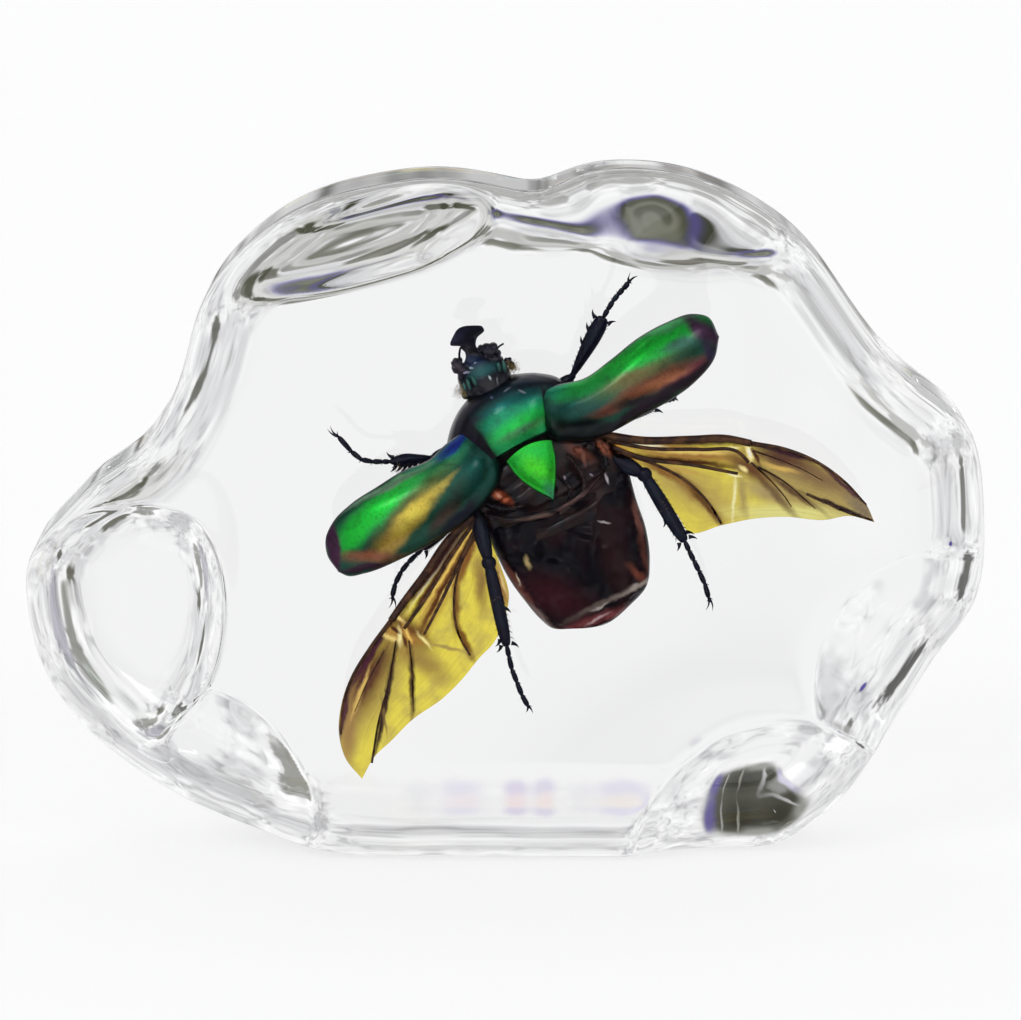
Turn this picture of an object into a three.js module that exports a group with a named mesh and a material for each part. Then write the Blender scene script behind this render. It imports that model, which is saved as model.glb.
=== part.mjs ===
// A free-form clear resin block that stands on its polished base. A beetle is sealed inside it.
// Millimetres, +Z up. The broad faces look along -Y (front) and +Y (back).
// The origin is at the bottom centre of the block.
import * as THREE from "three";

// Driving dimensions
const THICKNESS = 26; // between the two broad faces
const HUB = [0, 38]; // x, z where the grid's spokes meet, well inside the outline
const BASE_SOFTNESS = 0.8; // how gently the outline runs into the flat base at z = 0

// Front view of the block, x and z, clockwise from its left tip. The base line dips below z = 0 and is levelled.
const OUTLINE = [
  [-55, 30], [-54, 36], [-50.5, 40.2], [-46.8, 43.9], [-42.5, 47], [-39, 51.5],
  [-36.5, 57.5], [-34.8, 63.6], [-31, 69.5], [-24, 75], [-15.7, 77.8], [-7.5, 78.7],
  [-0.5, 77.8], [4, 77.3], [8.5, 78.8], [14, 79.5], [21.5, 78.5], [29, 75.2],
  [34.8, 70.6], [39.2, 64.6], [44.2, 58.1], [49.5, 53.7], [53.5, 49.2], [54.8, 42],
  [55, 35], [54, 29], [50.4, 23.6], [46.5, 17.5], [42.9, 12], [40, 7],
  [35.5, 2.8], [30, 0], [20, -1.2], [8, -1.2], [-4, -1.2], [-15, -0.3],
  [-23.5, 1.2], [-32.3, 4.2], [-41.6, 9.1], [-48.3, 14.7], [-53.2, 21.7],
];

// Rounded rims: how far each runs in from the outline, how deep it falls, and how much of it is a straight slope.
const FRONT_RIM = { width: 7.5, depth: 6.5, straight: 0.2 };
const BACK_RIM = { width: 8.5, depth: 6.5, straight: 0.2 };

// Hollows ground into the front: centre x and z, half lengths to both sides, half width, turn in degrees, depth,
// the power of the profile and the softness of the ridge round it, as a share of its depth. A higher power gives
// a flatter floor and a steeper wall.
const SCOOPS = [
  { name: "left lobe", x: -41, z: 26.6, a: [16, 8.5], b: 15.5, turn: -14, depth: 4.5, power: 5, soft: 0.12 },
  { name: "lobe foot", x: -42, z: 12, a: [12, 12], b: 7.5, turn: -40, depth: 3.2, power: 2, soft: 0.4 },
  { name: "lower left", x: -32, z: 10, a: [13, 13], b: 8.5, turn: -52, depth: 3.4, power: 2.4, soft: 0.2 },
  { name: "upper left", x: -11.5, z: 73.4, a: [20, 10], b: 4.4, turn: 18, depth: 3.4, power: 2.2, soft: 0.3 },
  { name: "upper right", x: 18.5, z: 78.3, a: [15, 15], b: 8.4, turn: -7, depth: 4.5, power: 2.2, soft: 0.45 },
  { name: "right", x: 50, z: 22, a: [14.5, 14.5], b: 14.5, turn: 0, depth: 4, power: 3, soft: 0.25 },
  { name: "lower right", x: 32, z: 1, a: [17.5, 17.5], b: 16, turn: 25, depth: 4.5, power: 4, soft: 0.12 },
];
const BLEND = 6; // how sharply the deeper hollow takes over where two of them meet

// Grid of the faceted solid
const SPOKES = 128;
const FRONT_RINGS = [0.25, 0.45, 0.57, 0.65, 0.71, 0.76, 0.8, 0.835, 0.865, 0.895, 0.92, 0.945, 0.967, 0.985, 0.996];
const BACK_RINGS = [0.4, 0.7, 0.79, 0.85, 0.89, 0.925, 0.955, 0.98, 0.995];
const WALL_ROWS = 3;

// A closed curve through every point, smooth to its second derivative: the cubic B-spline whose control
// points are nudged until the curve passes through the points.
function closedSpline(points, count) {
  const n = points.length;
  const control = points.map((p) => [...p]);
  const at = (i) => control[(i + n) % n];
  for (let round = 0; round < 80; round++) {
    const miss = points.map((p, i) =>
      p.map((value, k) => value - (at(i - 1)[k] + 4 * at(i)[k] + at(i + 1)[k]) / 6),
    );
    control.forEach((c, i) => c.forEach((_, k) => (c[k] += miss[i][k])));
  }
  return Array.from({ length: count }, (_, j) => {
    const u = (j / count) * n;
    const i = Math.floor(u);
    const f = u - i;
    const weights = [(1 - f) ** 3, 3 * f ** 3 - 6 * f ** 2 + 4, -3 * f ** 3 + 3 * f ** 2 + 3 * f + 1, f ** 3];
    return [0, 1].map((k) => weights.reduce((sum, w, m) => sum + (w * at(i + m - 1)[k]) / 6, 0));
  });
}

// Lifts everything below zero to a level base, with a short parabola between the level and the rest.
function levelled(z) {
  if (z >= BASE_SOFTNESS) return z;
  if (z <= -BASE_SOFTNESS) return 0;
  return (z + BASE_SOFTNESS) ** 2 / (4 * BASE_SOFTNESS);
}

function blockOutline(count) {
  const curve = closedSpline(OUTLINE, count).map(([x, z]) => [x, levelled(z)]);
  const xs = curve.map((p) => p[0]);
  const middle = (Math.min(...xs) + Math.max(...xs)) / 2;
  return curve.map(([x, z]) => [x - middle, z]);
}

// Shortest distance from a point to the closed outline.
function distanceTo(outline, x, z) {
  let best = Infinity;
  outline.forEach(([ax, az], i) => {
    const [bx, bz] = outline[(i + 1) % outline.length];
    const along = ((x - ax) * (bx - ax) + (z - az) * (bz - az)) / ((bx - ax) ** 2 + (bz - az) ** 2);
    const t = Math.min(1, Math.max(0, along));
    best = Math.min(best, Math.hypot(x - ax - t * (bx - ax), z - az - t * (bz - az)));
  });
  return best;
}

// Depth of a rounded rim at a distance in from the outline: part soft slope, part quarter ellipse.
function rimDepth(rim, distance) {
  const q = Math.max(0, 1 - distance / rim.width);
  const round = 1 - Math.sqrt(Math.max(0, 1 - q * q));
  return rim.depth * (rim.straight * q ** 1.5 + (1 - rim.straight) * round);
}

// Depth of one hollow inside its ellipse, flatter on its floor as its power rises, with its ridge softened.
function scoopDepth(scoop, x, z) {
  const turn = THREE.MathUtils.degToRad(scoop.turn);
  const along = (x - scoop.x) * Math.cos(turn) + (z - scoop.z) * Math.sin(turn);
  const across = (z - scoop.z) * Math.cos(turn) - (x - scoop.x) * Math.sin(turn);
  const reach = along < 0 ? scoop.a[0] : scoop.a[1];
  const q = 1 - ((along / reach) ** 2 + (across / scoop.b) ** 2) ** (scoop.power / 2);
  return (scoop.depth * (q + Math.sqrt(q * q + scoop.soft ** 2))) / 2;
}

function frontY(outline, x, z) {
  const rim = rimDepth(FRONT_RIM, distanceTo(outline, x, z));
  const sum = SCOOPS.reduce((total, scoop) => total + scoopDepth(scoop, x, z) ** BLEND, 0);
  return rim + sum ** (1 / BLEND) - THICKNESS / 2;
}

function backY(outline, x, z) {
  return THICKNESS / 2 - rimDepth(BACK_RIM, distanceTo(outline, x, z));
}

// The whole skin as rings of points from the front's hub, over the rim and the wall, to the back's hub.
function blockGeometry() {
  const outline = blockOutline(SPOKES * 4);
  const spokes = outline.filter((_, i) => i % 4 === 0);
  const inward = (t) => spokes.map(([x, z]) => [HUB[0] + t * (x - HUB[0]), HUB[1] + t * (z - HUB[1])]);
  const front = FRONT_RINGS.map((t) => inward(t).map(([x, z]) => [x, frontY(outline, x, z), z]));
  const back = BACK_RINGS.map((t) => inward(t).map(([x, z]) => [x, backY(outline, x, z), z]));
  const wall = Array.from({ length: WALL_ROWS + 1 }, (_, row) =>
    spokes.map(([x, z]) => {
      const [y0, y1] = [frontY(outline, x, z), backY(outline, x, z)];
      return [x, y0 + ((y1 - y0) * row) / WALL_ROWS, z];
    }),
  );
  const rings = [...front, ...wall, ...back.reverse()];
  const hubs = [
    [HUB[0], frontY(outline, ...HUB), HUB[1]],
    [HUB[0], backY(outline, ...HUB), HUB[1]],
  ];
  const positions = [...rings.flat(), ...hubs].flat();
  const [frontHub, backHub] = [rings.length * SPOKES, rings.length * SPOKES + 1];
  const last = (rings.length - 1) * SPOKES;
  const faces = [];
  for (let i = 0; i < SPOKES; i++) {
    const next = (i + 1) % SPOKES;
    faces.push(frontHub, next, i, backHub, last + i, last + next);
    for (let r = 0; r < rings.length - 1; r++) {
      const [here, there] = [r * SPOKES, (r + 1) * SPOKES];
      faces.push(here + i, here + next, there + next, here + i, there + next, there + i);
    }
  }
  const geometry = new THREE.BufferGeometry();
  geometry.setAttribute("position", new THREE.Float32BufferAttribute(positions, 3));
  geometry.setIndex(faces);
  geometry.computeVertexNormals();
  return geometry;
}

function clearResin() {
  const look = { color: 0xf2f5f6, roughness: 0.03, metalness: 0, transparent: true, opacity: 0.35 };
  return new THREE.MeshStandardMaterial(look);
}

const part = new THREE.Group();
const block = new THREE.Mesh(blockGeometry(), clearResin());
block.name = "resin_block";
part.add(block);

export default part;
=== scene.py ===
"""Builds the looks of a free-form resin block with a horned green flower beetle sealed inside it."""

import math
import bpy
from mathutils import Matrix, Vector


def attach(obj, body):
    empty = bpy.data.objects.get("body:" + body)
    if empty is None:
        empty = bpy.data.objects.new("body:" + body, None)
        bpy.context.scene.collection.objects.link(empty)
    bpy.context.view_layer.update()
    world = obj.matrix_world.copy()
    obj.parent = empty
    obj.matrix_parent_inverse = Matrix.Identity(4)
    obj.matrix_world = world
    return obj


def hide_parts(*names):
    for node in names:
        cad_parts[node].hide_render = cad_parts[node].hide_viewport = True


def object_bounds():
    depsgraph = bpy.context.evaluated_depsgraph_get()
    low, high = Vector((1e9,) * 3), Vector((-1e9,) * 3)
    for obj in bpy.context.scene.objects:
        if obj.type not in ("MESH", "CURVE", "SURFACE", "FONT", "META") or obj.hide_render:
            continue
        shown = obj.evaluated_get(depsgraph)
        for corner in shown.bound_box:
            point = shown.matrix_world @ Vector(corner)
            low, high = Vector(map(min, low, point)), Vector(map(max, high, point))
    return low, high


bl_info = {
    "name": "Beetle in Resin Block",
    "version": (1, 0, 0),
    "blender": (4, 5, 0),
    "location": "View3D > Sidebar > Specimen",
    "description": "Casts a free-form resin block and builds the flower beetle sealed inside it",
    "category": "Add Mesh",
}

import bpy
import numpy as np
from bpy.props import FloatProperty, FloatVectorProperty, IntProperty, PointerProperty
from mathutils import Vector

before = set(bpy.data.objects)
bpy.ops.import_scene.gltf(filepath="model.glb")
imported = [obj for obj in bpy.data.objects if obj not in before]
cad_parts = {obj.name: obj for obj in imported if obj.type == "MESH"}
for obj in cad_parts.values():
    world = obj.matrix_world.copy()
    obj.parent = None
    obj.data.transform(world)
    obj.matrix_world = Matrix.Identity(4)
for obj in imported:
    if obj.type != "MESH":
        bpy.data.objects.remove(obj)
CAD_BOX = [list(corner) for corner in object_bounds()]
MM = 0.001  # metres in a millimetre

# The beetle is drawn on a sheet of small squares, counted to the right and down. Heights are in
# millimetres above the beetle's middle plane, towards the front of the block.
SQUARE = 0.115  # width of a square in millimetres
SHEET_MIDDLE = 504.5  # squares from the sheet's left edge to the block's middle
SHEET_FOOT = 854.1  # squares from the sheet's upper edge to the block's base
SHEET_STRETCH = 1.0152  # height of a square by its width
LEAN = 0.1175  # how far the beetle rises for each millimetre towards the front
TAILWARD = np.array([0.319, -0.948])  # the way from the head to the tail, in x and z


def sheet(points):
    """Sheet squares to millimetres in x and z."""
    points = np.asarray(points, float)
    x = (points[:, 0] - SHEET_MIDDLE) * SQUARE
    return np.stack([x, (SHEET_FOOT - points[:, 1]) * SQUARE * SHEET_STRETCH], -1)


def raised(points):
    """Sheet points with a height each, as x, y, z in millimetres."""
    points = np.asarray(points, float)
    plan = sheet(points[:, :2])
    return np.stack([plan[:, 0], -points[:, 2], plan[:, 1]], -1)


# ---------------------------------------------------------------- curves and solids

def closed_spline(points, count):
    """A closed cubic B-spline whose control points are nudged until it passes through the points."""
    points = np.array(points, float)
    control = points.copy()
    for _ in range(80):
        control += points - (np.roll(control, 1, 0) + 4 * control + np.roll(control, -1, 0)) / 6
    u = np.arange(count) / count * len(points)
    i = u.astype(int)
    f = (u - i)[:, None]
    before, here, after, later = (control[(i + k) % len(points)] for k in (-1, 0, 1, 2))
    rise = 3 * f**3 - 6 * f**2 + 4
    turn = -3 * f**3 + 3 * f**2 + 3 * f + 1
    return ((1 - f) ** 3 * before + rise * here + turn * after + f**3 * later) / 6


def hermite(knots, values, at):
    """A cubic through the values at their knots, with each knot's slope taken from its neighbours."""
    slopes = np.gradient(values, knots, axis=0)
    i = np.clip(np.searchsorted(knots, at, "right") - 1, 0, len(knots) - 2)
    span = (knots[i + 1] - knots[i])[..., None]
    f = (at - knots[i])[..., None] / span
    start = (1 + 2 * f) * (1 - f) ** 2 * values[i] + f * (1 - f) ** 2 * span * slopes[i]
    return start + f**2 * (3 - 2 * f) * values[i + 1] + f**2 * (f - 1) * span * slopes[i + 1]


def along(points, at):
    """Points at fractions of the length of a smooth curve through the given points."""
    points = np.asarray(points, float)
    reach = np.concatenate([[0], np.cumsum(np.linalg.norm(np.diff(points, axis=0), axis=1))])
    return hermite(reach / reach[-1], points, np.asarray(at, float))


def profile(values, at):
    """A smooth curve through evenly spaced values."""
    values = np.asarray(values, float)[:, None]
    return hermite(np.linspace(0, 1, len(values)), values, np.asarray(at, float))[..., 0]


def eased(count, ends=0.0):
    """Fractions from 0 to 1 that crowd together at both ends, as a half turn of a cosine does."""
    return 0.5 - 0.5 * np.cos(np.pi * np.linspace(ends, 1 - ends, count))


def dome(v, power):
    """A rounded cross-section: one in the middle and zero at both sides."""
    return np.clip(1 - (2 * v - 1) ** 2, 0, 1) ** power


def bell(value, centre, width):
    """A smooth bump of height one."""
    return np.exp(-(((value - centre) / width) ** 2))


def ripple(a, b, seed, waves=9):
    """Crumpled relief: a sum of sine waves with random directions, lengths and starts."""
    rng = np.random.default_rng(seed)
    total = 0
    for turn, pitch, start in zip(rng.uniform(0, np.pi, waves), rng.uniform(0.6, 2.4, waves),
                                  rng.uniform(0, 2 * np.pi, waves)):
        total = total + np.sin((a * np.cos(turn) + b * np.sin(turn)) * pitch * 2 * np.pi + start)
    return total / waves**0.5


def closed(rings, place):
    """A solid from rings of points, closed with a pole at each end and turned so that it faces outwards."""
    count, spokes = rings.shape[:2]
    vertices = np.concatenate([rings.reshape(-1, 3), rings[[0, -1]].mean(1)])
    places = np.concatenate([place.reshape(-1, 3), place[[0, -1]].mean(1)])
    i = np.arange(spokes)
    after = (i + 1) % spokes
    start = (np.arange(count - 1) * spokes)[:, None]
    corners = [start + i, start + after, start + spokes + after, start + spokes + i]
    quads = np.stack(corners, -1).reshape(-1, 4)
    last, pole = (count - 1) * spokes, count * spokes
    first_cap = np.stack([np.full(spokes, pole), after, i], -1)
    last_cap = np.stack([np.full(spokes, pole + 1), last + i, last + after], -1)
    tris = np.concatenate([first_cap, last_cap])
    flat = np.concatenate([quads[:, [0, 1, 2]], quads[:, [0, 2, 3]], tris])
    a, b, c = (vertices[flat[:, k]] - vertices[pole] for k in range(3))
    if (np.cross(a, b) * c).sum() < 0:
        quads, tris = quads[:, ::-1], tris[:, ::-1]
    return vertices, places, quads, tris


def shell(edge_a, edge_b, upper, lower, rows, across, bulge=None):
    """A solid between two edge curves: straight lines across, raised by the upper and lower heights."""
    u, v = eased(rows, 0.02), eased(across)
    plan = along(sheet(edge_a), u)[:, None] * (1 - v[:, None]) + along(sheet(edge_b), u)[:, None] * v[:, None]
    u, v = np.meshgrid(u, v, indexing="ij")
    if bulge is not None:
        plan = plan + bulge(u, v)[..., None] * TAILWARD
    top, low = upper(u, v), lower(u, v)

    def looped(over, under):
        return np.concatenate([over, under[:, -2:0:-1]], 1)

    plan, height = looped(plan, plan), looped(top, low)
    rings = np.stack([plan[..., 0], -height, plan[..., 1]], -1)
    place = np.stack([looped(u, u), looped(v, v), looped(np.ones_like(u), np.zeros_like(u))], -1)
    return closed(rings, place)


def tube(path, radius, spokes=12, flatten=1.0):
    """A round or flattened profile carried along a path, square to it, with a radius for each station."""
    tangent = np.gradient(path, axis=0)
    tangent /= np.linalg.norm(tangent, axis=1)[:, None]
    side = np.cross(tangent, (0.0, 1.0, 0.0))
    side /= np.linalg.norm(side, axis=1)[:, None]
    other = np.cross(side, tangent)
    turn = np.arange(spokes) / spokes * 2 * np.pi
    spread = np.cos(turn)[:, None] * side[:, None] + flatten * np.sin(turn)[:, None] * other[:, None]
    rings = path[:, None] + radius[:, None, None] * spread
    u = np.broadcast_to(np.linspace(0, 1, len(path))[:, None], rings.shape[:2])
    place = np.stack([u, np.broadcast_to(turn / (2 * np.pi), u.shape), np.ones_like(u)], -1)
    return closed(rings, place)


def ball(centre, radii, lumps=0.0, rows=20, spokes=32):
    """An ellipsoid in rings of latitude, its radius uneven by a share."""
    lift = np.pi * (np.arange(rows) + 0.5) / rows
    turn = np.arange(spokes) / spokes * 2 * np.pi
    x = np.sin(lift)[:, None] * np.cos(turn)
    z = np.sin(lift)[:, None] * np.sin(turn)
    y = np.broadcast_to(np.cos(lift)[:, None], x.shape)
    uneven = 1 + lumps * ripple(x + 0.3 * y, z - 0.4 * y, 8)
    rings = np.asarray(centre) + np.stack([x, y, z], -1) * np.asarray(radii) * uneven[..., None]
    return closed(rings, np.stack([x, y, z], -1) * 0.5 + 0.5)


def add_piece(name, solids, material, lean=LEAN):
    """Joins solids into one smooth mesh that rides on the block. Millimetres go in, metres come out."""
    points, places, quads, tris = zip(*solids)
    starts = np.cumsum([0, *map(len, points)])[:-1]
    vertices, places = np.concatenate(points), np.concatenate(places)
    vertices[:, 2] -= lean * vertices[:, 1]
    quads, tris = (np.concatenate([f + k for f, k in zip(faces, starts)]) for faces in (quads, tris))
    corners = np.concatenate([quads.ravel(), tris.ravel()])
    sizes = np.concatenate([np.full(len(quads), 4), np.full(len(tris), 3)])
    mesh = bpy.data.meshes.new(name)
    mesh.vertices.add(len(vertices))
    mesh.vertices.foreach_set("co", (vertices * MM).astype(np.float32).ravel())
    mesh.loops.add(len(corners))
    mesh.loops.foreach_set("vertex_index", corners.astype(np.int32))
    mesh.polygons.add(len(sizes))
    mesh.polygons.foreach_set("loop_start", (np.cumsum(sizes) - sizes).astype(np.int32))
    mesh.polygons.foreach_set("use_smooth", np.ones(len(sizes), bool))
    mesh.update(calc_edges=True)
    mesh.validate()
    place = mesh.attributes.new("place", "FLOAT_VECTOR", "POINT")
    place.data.foreach_set("vector", places.astype(np.float32).ravel())
    mesh.materials.append(material)
    piece = bpy.data.objects.new(name, mesh)
    bpy.context.scene.collection.objects.link(piece)
    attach(piece, "root")
    return piece


# ---------------------------------------------------------------- shader tools

COLOUR_A, COLOUR_B, COLOUR_OUT = 6, 7, 2  # a Mix node's colour sockets, which share their names with others


def node(tree, kind, inputs=(), **settings):
    """A shader node with its settings, and a value or a link for each named or numbered input."""
    made = tree.nodes.new("ShaderNode" + kind)
    for key, value in settings.items():
        setattr(made, key, value)
    for key, value in dict(inputs).items():
        if isinstance(value, bpy.types.NodeSocket):
            tree.links.new(value, made.inputs[key])
        else:
            made.inputs[key].default_value = value
    return made


def rgba(colour):
    """Three numbers as a colour with full alpha."""
    return (*colour[:3], 1.0)


def mixed(tree, factor, below, above, blend="MIX"):
    """A colour mix. Each colour is a socket or three numbers."""
    below, above = (c if isinstance(c, bpy.types.NodeSocket) else rgba(c) for c in (below, above))
    return node(tree, "Mix", {0: factor, COLOUR_A: below, COLOUR_B: above}, data_type="RGBA",
                blend_type=blend, clamp_result=False).outputs[COLOUR_OUT]


def math_node(tree, operation, *values):
    """The result of a Math node."""
    return node(tree, "Math", dict(enumerate(values)), operation=operation).outputs[0]


def vector_math(tree, operation, *values):
    """The result of a Vector Math node. A length is a value, and the others are vectors."""
    made = node(tree, "VectorMath", dict(enumerate(values)), operation=operation)
    return made.outputs["Value" if operation == "LENGTH" else "Vector"]


def noise_texture(tree, place, scale, detail, distortion=0.0):
    """A noise texture's outputs: its value and its colour."""
    inputs = {"Vector": place, "Scale": scale, "Detail": detail, "Distortion": distortion}
    return node(tree, "TexNoise", inputs).outputs


def object_place(tree):
    """Where a point stands in its object's own coordinates."""
    return node(tree, "TexCoord").outputs["Object"]


def faded(tree, value, start, end):
    """Zero at the start and one at the end, with soft corners."""
    inputs = {"Value": value, "From Min": start, "From Max": end}
    return node(tree, "MapRange", inputs, interpolation_type="SMOOTHSTEP").outputs[0]


def ramp(tree, value, stops):
    """A colour ramp with (position, colour) stops."""
    made = node(tree, "ValToRGB", {0: value})
    elements = made.color_ramp.elements
    while len(elements) < len(stops):
        elements.new(0.5)
    for element, (position, colour) in zip(elements, stops):
        element.position = position
        element.color = rgba(colour)
    return made.outputs[0]


def group(name, inputs, outputs, fill):
    """A shader node group, made once. Inputs are (name, kind, default) and outputs (name, kind)."""
    if name in bpy.data.node_groups:
        return bpy.data.node_groups[name]
    tree = bpy.data.node_groups.new(name, "ShaderNodeTree")
    for label, kind, default in inputs:
        socket = tree.interface.new_socket(label, in_out="INPUT", socket_type="NodeSocket" + kind)
        socket.default_value = default
    for label, kind in outputs:
        tree.interface.new_socket(label, in_out="OUTPUT", socket_type="NodeSocket" + kind)
    given = tree.nodes.new("NodeGroupInput").outputs
    taken = tree.nodes.new("NodeGroupOutput").inputs
    fill(tree, given, taken)
    return tree


def placed(tree, shared, **inputs):
    """A shared node group placed in a material with its own values."""
    labelled = {key.replace("_", " "): value for key, value in inputs.items()}
    return node(tree, "Group", labelled, node_tree=shared).outputs


def place_masks():
    """Where a point is on its own piece: near a side edge that wanders, and on the upper side."""
    def fill(tree, given, taken):
        place = node(tree, "Attribute", attribute_name="place").outputs["Vector"]
        _, across, upper = node(tree, "SeparateXYZ", {0: place}).outputs
        noise = noise_texture(tree, object_place(tree), given["Scale"], 3.0)[0]
        wander = math_node(tree, "MULTIPLY", math_node(tree, "SUBTRACT", noise, 0.5), given["Wander"])
        inward = math_node(tree, "MINIMUM", across, math_node(tree, "SUBTRACT", 1.0, across))
        edge = math_node(tree, "ADD", inward, math_node(tree, "MULTIPLY", wander, 0.3))
        tree.links.new(faded(tree, edge, given["Edge"], 0.0), taken["Rim"])
        tree.links.new(upper, taken["Upper"])

    inputs = [("Scale", "Float", 300.0), ("Wander", "Float", 0.2), ("Edge", "Float", 0.06)]
    return group("place_masks", inputs, [("Rim", "Float"), ("Upper", "Float")], fill)


def sheet_place():
    """Where a point stands on the drawing sheet, in squares, with a slow wander."""
    def fill(tree, given, taken):
        coord = object_place(tree)
        x, y, z = node(tree, "SeparateXYZ", {0: coord}).outputs
        right = math_node(tree, "MULTIPLY_ADD", x, 1 / (MM * SQUARE), SHEET_MIDDLE)
        upright = math_node(tree, "MULTIPLY_ADD", y, LEAN, z)
        down = math_node(tree, "MULTIPLY_ADD", upright, -1 / (MM * SQUARE * SHEET_STRETCH), SHEET_FOOT)
        plain = node(tree, "CombineXYZ", {0: right, 1: down}).outputs[0]
        noise = noise_texture(tree, coord, given["Scale"], 5.0)[1]
        centred = vector_math(tree, "SUBTRACT", noise, (0.5, 0.5, 0.5))
        reach = node(tree, "CombineXYZ", {0: given["Wander"], 1: given["Wander"]}).outputs[0]
        shift = vector_math(tree, "MULTIPLY", centred, reach)
        tree.links.new(vector_math(tree, "ADD", plain, shift), taken["Place"])

    inputs = [("Scale", "Float", 400.0), ("Wander", "Float", 10.0)]
    return group("sheet_place", inputs, [("Place", "Vector")], fill)


def painted(tree, place, colour, strokes):
    """Soft-edged ellipses along short lines: both ends on the sheet, half width, softness, colour."""
    for x0, y0, x1, y1, half, soft, over in strokes:
        reach = math.hypot(x1 - x0, y1 - y0) / 2 + half
        inputs = {"Vector": place, "Location": ((x0 + x1) / 2, (y0 + y1) / 2, 0),
                  "Rotation": (0, 0, math.atan2(y1 - y0, x1 - x0)), "Scale": (reach, half, 1)}
        local = node(tree, "Mapping", inputs, vector_type="TEXTURE").outputs[0]
        length = vector_math(tree, "LENGTH", local)
        colour = mixed(tree, faded(tree, length, 1 + soft, 1 - soft), colour, over)
    return colour


def mottling():
    """A colour broken up by soft patches of a second colour."""
    def fill(tree, given, taken):
        noise = noise_texture(tree, object_place(tree), given["Scale"], 5.0)[0]
        patch = math_node(tree, "MULTIPLY", faded(tree, noise, 0.42, 0.66), given["Amount"])
        tree.links.new(mixed(tree, patch, given["Colour"], given["Patch Colour"]), taken["Colour"])

    inputs = [("Colour", "Color", (0.5, 0.5, 0.5, 1)), ("Patch Colour", "Color", (0.2, 0.2, 0.2, 1)),
              ("Scale", "Float", 500.0), ("Amount", "Float", 0.7)]
    return group("mottling", inputs, [("Colour", "Color")], fill)


def pitted_relief():
    """The fine relief of a beetle's shell: small round pits over a slow unevenness."""
    def fill(tree, given, taken):
        coord = object_place(tree)
        pits = node(tree, "TexVoronoi", {"Vector": coord, "Scale": given["Pit Scale"]}).outputs["Distance"]
        noise = noise_texture(tree, coord, given["Slow Scale"], 4.0)[0]
        deep = math_node(tree, "MULTIPLY", faded(tree, pits, 0.0, 0.35), given["Pits"])
        tree.links.new(math_node(tree, "ADD", deep, noise), taken["Height"])

    inputs = [("Pit Scale", "Float", 3000.0), ("Slow Scale", "Float", 500.0), ("Pits", "Float", 0.5)]
    return group("pitted_relief", inputs, [("Height", "Float")], fill)


def finish(name, colour, metallic=0.0, roughness=0.3, coat=0.0, **settings):
    """A Principled material. Returns it with its tree and shader, so that a pattern can be linked in."""
    material = bpy.data.materials.new(name)
    material.use_nodes = True
    shader = material.node_tree.nodes["Principled BSDF"]
    values = {"Base Color": rgba(colour), "Metallic": metallic, "Roughness": roughness, "Coat Weight": coat,
              "Coat Roughness": 0.06, **settings}
    for key, value in values.items():
        shader.inputs[key].default_value = value
    return material, material.node_tree, shader


def relief(tree, shader, strength, distance=0.00012, **inputs):
    """Pitted relief as a bump on the shader's normal."""
    height = placed(tree, pitted_relief(), **inputs)["Height"]
    bump = node(tree, "Bump", {"Strength": strength, "Distance": distance, "Height": height})
    tree.links.new(bump.outputs[0], shader.inputs["Normal"])


def resin_material(settings):
    """Clear cast resin: plain transmission and index, with a faint tint over long paths."""
    material, tree, _ = finish("clear_resin", (1, 1, 1), roughness=0.0, IOR=settings.index,
                               **{"Transmission Weight": 1.0})
    absorb = node(tree, "VolumeAbsorption", {"Color": rgba(settings.tint), "Density": settings.density})
    tree.links.new(absorb.outputs[0], tree.nodes["Material Output"].inputs["Volume"])
    return material


BLACK = (0.006, 0.004, 0.010)
UNDERSIDE = (0.03, 0.014, 0.014)


def shell_material(name, ground, strokes, settings, rim=0.035, wander=13.0):
    """Metallic shell: ground colour, painted strokes, fine speckles, a dark rim, part own margin and part
    painted shade, and a dark underside.
    """
    material, tree, shader = finish(name, settings.green, metallic=0.85, roughness=0.34, coat=0.3)
    place = placed(tree, sheet_place(), Scale=320.0, Wander=wander)["Place"]
    masks = placed(tree, place_masks(), Scale=600.0, Wander=0.05, Edge=rim)
    colour = painted(tree, place, ground, strokes)
    dark = mixed(tree, 1.0, colour, (0.5, 0.42, 0.4), "MULTIPLY")
    coord = object_place(tree)
    for scale, start, end, amount in ((3000.0, 0.46, 0.75, 0.5), (700.0, 0.5, 0.7, 0.45)):
        speckle = faded(tree, noise_texture(tree, coord, scale, 4.0)[0], start, end)
        colour = mixed(tree, math_node(tree, "MULTIPLY", speckle, amount), colour, dark)
    # The dark rim is partly the shell's own dark margin and partly painted shade where the shell curves away
    # from the light.
    colour = mixed(tree, masks["Rim"], colour, BLACK)
    colour = mixed(tree, masks["Upper"], UNDERSIDE, colour)
    tree.links.new(colour, shader.inputs["Base Color"])
    relief(tree, shader, 0.12, Pit_Scale=4200.0, Slow_Scale=500.0, Pits=0.15)
    return material


def cuticle_material(name, colour, patch, amount, strength=0.3, strokes=(), gloss=0.25):
    """Dark cuticle with faint patches of another colour and painted strokes."""
    material, tree, shader = finish(name, colour, metallic=0.1, roughness=0.32, coat=gloss,
                                    **{"Specular IOR Level": 0.12})
    ground = placed(tree, mottling(), Colour=rgba(colour), Patch_Colour=rgba(patch), Scale=650.0,
                    Amount=amount)
    place = placed(tree, sheet_place(), Scale=900.0, Wander=4.0)["Place"]
    tree.links.new(painted(tree, place, ground["Colour"], strokes), shader.inputs["Base Color"])
    relief(tree, shader, strength, Pit_Scale=2200.0, Slow_Scale=900.0, Pits=0.2)
    return material


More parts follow.
